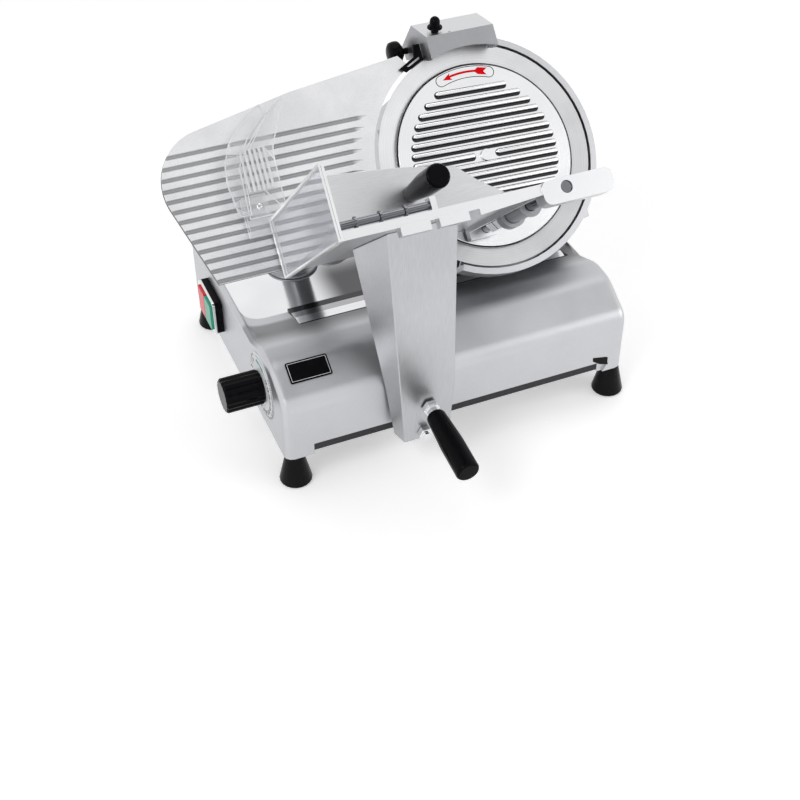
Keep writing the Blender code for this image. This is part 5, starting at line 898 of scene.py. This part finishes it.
# %% Red arrow
SHAFT_LOW, SHAFT_HIGH, SHAFT_STEPS = 94.2 * MM, 96.6 * MM, 16
HEAD_LOW, HEAD_TIP, HEAD_HIGH = 91.2 * MM, 95.0 * MM, 99.2 * MM
TAIL_LOW, TAIL_HIGH = 91.6 * MM, 99.4 * MM
SHAFT_START, SHAFT_END = 82, 101
arrow = arc(SHAFT_HIGH, SHAFT_START, SHAFT_END, SHAFT_STEPS)
arrow += [polar(HEAD_HIGH, 100), polar(HEAD_TIP, 106.5), polar(HEAD_LOW, 100)]
arrow += arc(SHAFT_LOW, SHAFT_END, SHAFT_START, SHAFT_STEPS)
arrow += [polar(TAIL_LOW, 80), polar(TAIL_LOW, 73.5), polar(HEAD_TIP, 76),
          polar(TAIL_HIGH, 73.5), polar(TAIL_HIGH, 80)]
settle("turn_arrow", sheet([arrow], INLAY), [arrow_red], "base", ON_COVER)
print("arrow on the cover,", len(arrow), "points")

# %% [markdown]
# ## Painted highlights on the edges of the guards
# The cut edges of clear plastic gather light, and that light is painted: thin bars of a
# whiter plastic run along the edges of the guards, and a thicker one frames the side plate of the
# tray.

# %% Painted highlights on the edges of the clear guards
CUT_EDGE_FROM = 12


def edge_bars(name, source, thick, material):
    """Thin bars along the edges of a clear piece: a painted highlight where its cut edge catches
    the light.
    """
    mesh = flat_faces(nodes[source], CUT_EDGE_FROM)
    bmesh.ops.wireframe(mesh, faces=mesh.faces, thickness=thick, offset=0.0, use_replace=True,
                        use_even_offset=True)
    settle(name, mesh, [material], nodes[source]["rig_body"])


edge_bars("wing_edges", "wing_guard", 1.3 * MM, edge_highlight)
edge_bars("bracket_edges", "wing_bracket", 0.9 * MM, edge_highlight)
edge_bars("side_edges", "side_plate", 3.0 * MM, side_highlight)
print("edges of three guards")

# %% [markdown]
# ## The dial
# The white plate behind the knob carries the numbers 0 to 17, one for each millimetre of
# slice. A ring round it has four ticks to a number, and their gap is at the top. All of it
# is cut from sheet, and `on_beam_end` turns it onto the end of the beam. Marks are printed,
# so they stand only a tenth of a millimetre proud.

# %% Ring of the dial
PRINT = 0.1 * MM
BEAM_END = -0.18535
PLATE_FACE = BEAM_END - 1.5 * MM - PRINT
KNOB_Y, KNOB_Z = -0.06331, 0.097


def on_beam_end(x):
    """A seat on the beam's end: sheet angles count from straight down towards the front."""
    return Matrix.Translation((x, KNOB_Y, KNOB_Z)) @ Matrix.Rotation(
        -math.pi / 2, 4, "Y") @ Matrix.Rotation(math.pi, 4, "Z")


def circle(radius):
    """Ninety points of a circle. The last stops short of the first, as in every outline."""
    return arc(radius, 0, 356, 89)


RING_IN, RING_OUT, RING_THICK = 35.3 * MM, 39.4 * MM, 0.3 * MM
ring = sheet([circle(RING_OUT), circle(RING_IN)], RING_THICK)
settle("dial_ring", ring, [white_print], "base", on_beam_end(BEAM_END - RING_THICK / 2))
print("ring,", round(RING_OUT * 2 / MM, 1), "mm across")

# %% [markdown]
# Ticks and numbers share one scale. It starts beside the gap at the top and goes three
# quarters of the way round. A tick is a small bar, longer at each number, and every number
# stands upright on its own radius.

# %% Ticks and numbers
SCALE_START, SCALE_SWEEP, SLICES = 226, 270, 17
TICKS = SLICES * 4
TICK_IN, TICK_LONG_IN, TICK_OUT, TICK_HALF = 36.6 * MM, 35.6 * MM, 39.0 * MM, 0.45 * MM
NUMBER_R, NUMBER_SIZE = 30.6 * MM, 6.6 * MM
ticks = bmesh.new()
for index in range(TICKS + 1):
    angle = math.radians(SCALE_START + SCALE_SWEEP * index / TICKS)
    inner = TICK_LONG_IN if index % 4 == 0 else TICK_IN
    bar = sheet([[(inner, -TICK_HALF), (TICK_OUT, -TICK_HALF), (TICK_OUT, TICK_HALF),
                  (inner, TICK_HALF)]], PRINT)
    join(ticks, bar, Matrix.Rotation(angle, 4, "Z"))
settle("dial_ticks", ticks, [ink], "base", on_beam_end(BEAM_END - RING_THICK - PRINT / 2))

numbers = bmesh.new()
for count in range(SLICES + 1):
    degrees = SCALE_START + SCALE_SWEEP * count / SLICES
    seat = Matrix.Translation((*polar(NUMBER_R, degrees), 0))
    join(numbers, word(str(count), NUMBER_SIZE, PRINT),
         seat @ Matrix.Rotation(math.radians(degrees) - math.pi / 2, 4, "Z"))
settle("dial_numbers", numbers, [ink], "base", on_beam_end(PLATE_FACE))
print("ticks:", TICKS + 1, "numbers:", SLICES + 1)

# %% [markdown]
# In the gap at the top a short curved arrow shows which way the knob opens the plate. Its
# outline is made like that of the red arrow, but without a notched tail.

# %% Arrow of the dial
SWEEP_IN, SWEEP_OUT = 29.6 * MM, 32.2 * MM
POINT_IN, POINT_OUT = 27.6 * MM, 34.2 * MM
SWEEP_START, SWEEP_END, SWEEP_STEPS = 158, 192, 12
POINT_FROM, POINT_TO = 190, 206
open_arrow = arc(SWEEP_OUT, SWEEP_START, SWEEP_END, SWEEP_STEPS)
open_arrow += [polar(POINT_OUT, POINT_FROM), polar((SWEEP_IN + SWEEP_OUT) / 2, POINT_TO),
               polar(POINT_IN, POINT_FROM)]
open_arrow += arc(SWEEP_IN, SWEEP_END, SWEEP_START, SWEEP_STEPS)
settle("open_arrow", sheet([open_arrow], PRINT), [teal], "base", on_beam_end(PLATE_FACE))
print("arrow on the dial")

# %% [markdown]
# ## The lock knob
# A mushroom-shaped knob locks the sharpener. It is round about its own axis, so its profile
# is turned on the lathe. It stands for the plain solid, whose right end it grows from.

# %% Lock knob
TO_LEFT = Matrix.Rotation(-math.pi / 2, 4, "Y")
LOCK_PROFILE = [(0, 0), (3.5, 0), (3.5, 8.5), (7.0, 8.5), (8.6, 9.8), (12.0, 12.0), (13.2, 14.2),
                (13.2, 19.0), (12.2, 22.6), (9.0, 24.8), (4.0, 25.5), (0, 25.5)]
LOCK_STEPS = 40
lock_low, lock_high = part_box("lock_knob")
lock_middle = (lock_low + lock_high) / 2
mushroom = lathe([(radius * MM, height * MM) for radius, height in LOCK_PROFILE], LOCK_STEPS)
lock = settle("lock_mushroom", mushroom, [gloss_black], "lock_knob",
              Matrix.Translation((lock_high.x, lock_middle.y, lock_middle.z)) @ TO_LEFT)
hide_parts("lock_knob")
print("lock knob,", LOCK_PROFILE[6][0] * 2, "mm across")

# %% [markdown]
# ## The bent bracket
# Beside the knob a black strip, bent like a Z with a slot in its middle, is screwed to the
# ring. It is flat sheet, so an outline with a hole is enough, with its edges rounded.

# %% Bent bracket
STRIP_OUTLINE = [(-51.2, 135.6), (-44.4, 135.4), (-44.4, 118.0), (-66.4, 107.7), (-73.4, 112.5),
                 (-53.7, 122.4)]
STRIP_SLOT = [(-50.2, 121.2), (-47.0, 123.0), (-47.0, 119.6), (-62.5, 112.7), (-65.9, 113.3)]
STRIP_THICK, STRIP_ROUND = 2.4 * MM, 0.3 * MM
RING_FRONT = 1.5 * MM
strip = sheet([[(x * MM, y * MM) for x, y in outline] for outline in (STRIP_OUTLINE, STRIP_SLOT)],
              STRIP_THICK, STRIP_ROUND)
settle("bent_bracket", strip, [gloss_black], "base", SLOPED @ Matrix.Translation(
    (0, 0, RING_FRONT + STRIP_THICK / 2)))
print("bracket,", round(STRIP_THICK / MM, 1), "mm thick")

# %% [markdown]
# ## Screws
# Round heads with a slot hold the covers. A head is a low dome from the lathe. Its slot is
# painted shade: a thin dark bar let into the top, because a cut that small would never be seen.

# %% Screws
HEAD_DOME = [(0, 0), (3.2, 0), (3.2, 0.5), (2.9, 0.9), (2.2, 1.2), (1.1, 1.35), (0, 1.4)]
HEAD_STEPS, NEXT_SLOT = 24, 0.9
SLOT_HALF, SLOT_LONG, SLOT_TOP, SLOT_THICK = 0.35 * MM, 2.3 * MM, 1.35 * MM, 0.2 * MM


def screws(name, body, places, turn):
    """Slotted screw heads at some places, all facing one way, each turned a little further."""
    mesh = bmesh.new()
    for index, spot in enumerate(places):
        seat = Matrix.Translation(spot) @ turn @ Matrix.Rotation(index * NEXT_SLOT, 4, "Z")
        dome = lathe([(radius * MM, height * MM) for radius, height in HEAD_DOME], HEAD_STEPS)
        slot = sheet([[(-SLOT_LONG, -SLOT_HALF), (SLOT_LONG, -SLOT_HALF), (SLOT_LONG, SLOT_HALF),
                       (-SLOT_LONG, SLOT_HALF)]], SLOT_THICK)
        join(mesh, dome, seat)
        # the slot's dark bar is painted shade
        join(mesh, slot, seat @ Matrix.Translation((0, 0, SLOT_TOP)), 1)
    settle(name, mesh, [chrome, ink], body)


TO_REAR = Matrix.Rotation(-math.pi / 2, 4, "X")
TO_RIGHT = Matrix.Rotation(math.pi / 2, 4, "Y")
DOWNWARDS = Matrix.Rotation(math.pi, 4, "X")
REAR_INSET, REAR_HEIGHT = 15 * MM, 0.178
SIDE_SPOTS = [(0.055, 0.146), (0.085, 0.146), (0.215, 0.146)]
UNDER_INSET, UNDER_ROW = 8 * MM, (-0.140, 0.025, 0.190)
WING_SPOT = Vector((-0.272, -0.003, 0.0225))
cover_low, cover_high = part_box("motor_cover")
screws("rear_screws", "base", [(cover_low.x + REAR_INSET, cover_high.y, REAR_HEIGHT),
                               (cover_high.x - REAR_INSET, cover_high.y, REAR_HEIGHT)], TO_REAR)
screws("right_screws", "base", [(cover_high.x, y, z) for y, z in SIDE_SPOTS], TO_RIGHT)
screws("left_screws", "base", [(cover_low.x, y, z) for y, z in SIDE_SPOTS], TO_LEFT)
under_low, under_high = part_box("bottom_cover")
under_spots = [(x, y, under_low.z) for y in (under_low.y + UNDER_INSET, under_high.y - UNDER_INSET)
               for x in UNDER_ROW]
screws("under_screws", "base", under_spots, DOWNWARDS)
screws("wing_screw", "carriage", [SLOPED @ WING_SPOT], Matrix.Rotation(BLADE_TURN[0], 4, "X"))
print("screws on four sides and on the guard")

# %% [markdown]
# ## The name plate's border
# The name plate is bare here, with only its fine border. The border is one rectangle cut
# out of another, and it lies on the plate, which slopes with the top of the beam.

# %% Border
SLOPE_LOW, SLOPE_HIGH, SLOPE_RUN = 0.119, 0.146, 0.045
PLATE_THICK, BORDER_INSET, BORDER_LINE = 1.0 * MM, 1.8 * MM, 0.5 * MM
plate_low, plate_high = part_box("badge_plate")
plate_rise = math.atan2(SLOPE_HIGH - SLOPE_LOW, SLOPE_RUN)
plate_flat = plate_high.y - plate_low.y - PLATE_THICK * math.sin(plate_rise)
plate_long = plate_flat / math.cos(plate_rise)
plate_seat = Matrix.Translation((plate_low + plate_high) / 2) @ Matrix.Rotation(
    plate_rise, 4, "X")


def frame_corners(inset):
    x, y = (plate_high.x - plate_low.x) / 2 - inset, plate_long / 2 - inset
    return [(-x, -y), (x, -y), (x, y), (-x, y)]


border = sheet([frame_corners(BORDER_INSET), frame_corners(BORDER_INSET + BORDER_LINE)], PRINT)
settle("plate_border", border, [white_print], "base",
       plate_seat @ Matrix.Translation((0, 0, PLATE_THICK / 2 + PRINT / 2)))
print("the plate slopes by", round(math.degrees(plate_rise), 1), "degrees")

# %% [markdown]
# ## The recess at the step
# At the right end of the step the casting's skirt ends in a shallow recess. Its shade is
# painted as an outline in black sheet, upright against the beam's front.

# %% Painted shade of the recess
BEAM_FRONT = -0.13531
RECESS_SHADE = [(0.1960, 0.0680), (0.2150, 0.0640), (0.2175, 0.0520), (0.2055, 0.0560), (0.1965, 0.0625)]
RECESS_THICK, RECESS_AHEAD = 0.3 * MM, 0.1 * MM
settle("painted_recess", sheet([RECESS_SHADE], RECESS_THICK), [rubber], "base", Matrix.Translation(
    (0, BEAM_FRONT - RECESS_AHEAD, 0)) @ Matrix.Rotation(math.pi / 2, 4, "X"))
print("recess at the right end")

# %% [markdown]
# ## The studio
# A pale floor and soft lamps, as for a catalogue. The floor and the sky show white to
# the camera and in reflections, while the light that falls on the machine stays plain.
# The floor's own glow grows with the distance, so that no horizon shows.

# %% Floor
FLOOR_HALF = 40
FLOOR_GLOW, FAR_GLOW = 0.36, 0.66
NEAR, FAR = 1.0, 3.0


def background_rays(wire):
    """1 for the rays that show the background: straight, mirrored or through glass."""
    seen, mirrored, through = (wire.node("ShaderNodeLightPath", output=f"Is {kind} Ray")
                               for kind in ("Camera", "Glossy", "Transmission"))
    return seen.maths("MAXIMUM", mirrored).maths("MAXIMUM", through)


def studio_floor():
    mesh = bmesh.new()
    bmesh.ops.create_grid(mesh, x_segments=2, y_segments=2, size=FLOOR_HALF)
    data = bpy.data.meshes.new("studio_floor")
    mesh.to_mesh(data)
    mesh.free()
    floor = bpy.data.objects.new("studio_floor", data)
    bpy.context.scene.collection.objects.link(floor)
    material, wire, sockets = finish("studio_floor", (0.93, 0.93, 0.935), Roughness=0.7,
                                     Emission_Strength=1)
    own = wire.node("ShaderNodeTexCoord", output="Object")
    away = wire.node("ShaderNodeVectorMath", {"operation": "LENGTH"}, {0: own}, output="Value")
    glow = FLOOR_GLOW + away.between(NEAR, FAR) * (FAR_GLOW - FLOOR_GLOW)
    link(background_rays(wire) * glow, sockets["Emission Color"])
    data.materials.append(material)


studio_floor()
print("floor", FLOOR_HALF * 2, "m wide")

# %% [markdown]
# Three square lamps are aimed at the middle of the machine: a strong one from the front
# left, a wide one from above, and a weak one that fills the shadows from the right.

# %% Lamps
AIM = Vector((0, 0, 0.2))


def lamp(name, spot, power, size):
    light = bpy.data.lights.new(name, "AREA")
    light.energy = power
    light.size = size
    made = bpy.data.objects.new(name, light)
    bpy.context.scene.collection.objects.link(made)
    made.location = spot
    made.rotation_euler = (Vector(spot) - AIM).to_track_quat("Z", "Y").to_euler()


lamp("key", (-1.5, -0.9, 1.7), 14, 1.0)
lamp("top", (0.3, 0.3, 2.2), 9, 1.4)
lamp("fill", (1.6, -1.2, 1.0), 6, 1.0)
print("three lamps")

# %% [markdown]
# The sky is white, a little dimmer for the light that falls on the machine. Straight
# overhead it has a darker ceiling, which gives the polished faces something to mirror.

# %% Sky
CEILING_LOW, CEILING_HIGH, CEILING_SHADE = 0.76, 0.92, 0.62
SKY_LIGHT = 0.55
world = bpy.data.worlds.new("studio")
bpy.context.scene.world = world
world.use_nodes = True
sky = Wire(world.node_tree)
shown = background_rays(sky)
backdrop = world.node_tree.nodes["Background"]
backdrop.inputs["Color"].default_value = (1, 1, 1, 1)
heading = sky.node("ShaderNodeTexCoord", output="Generated")
height, = axes(sky, "Z", heading)
ceiling = height.between(CEILING_LOW, CEILING_HIGH) * CEILING_SHADE
link((shown * (1 - SKY_LIGHT) + SKY_LIGHT) * (1 - ceiling), backdrop.inputs["Strength"])
bpy.context.scene.view_settings.view_transform = "Standard"
print("sky ready")
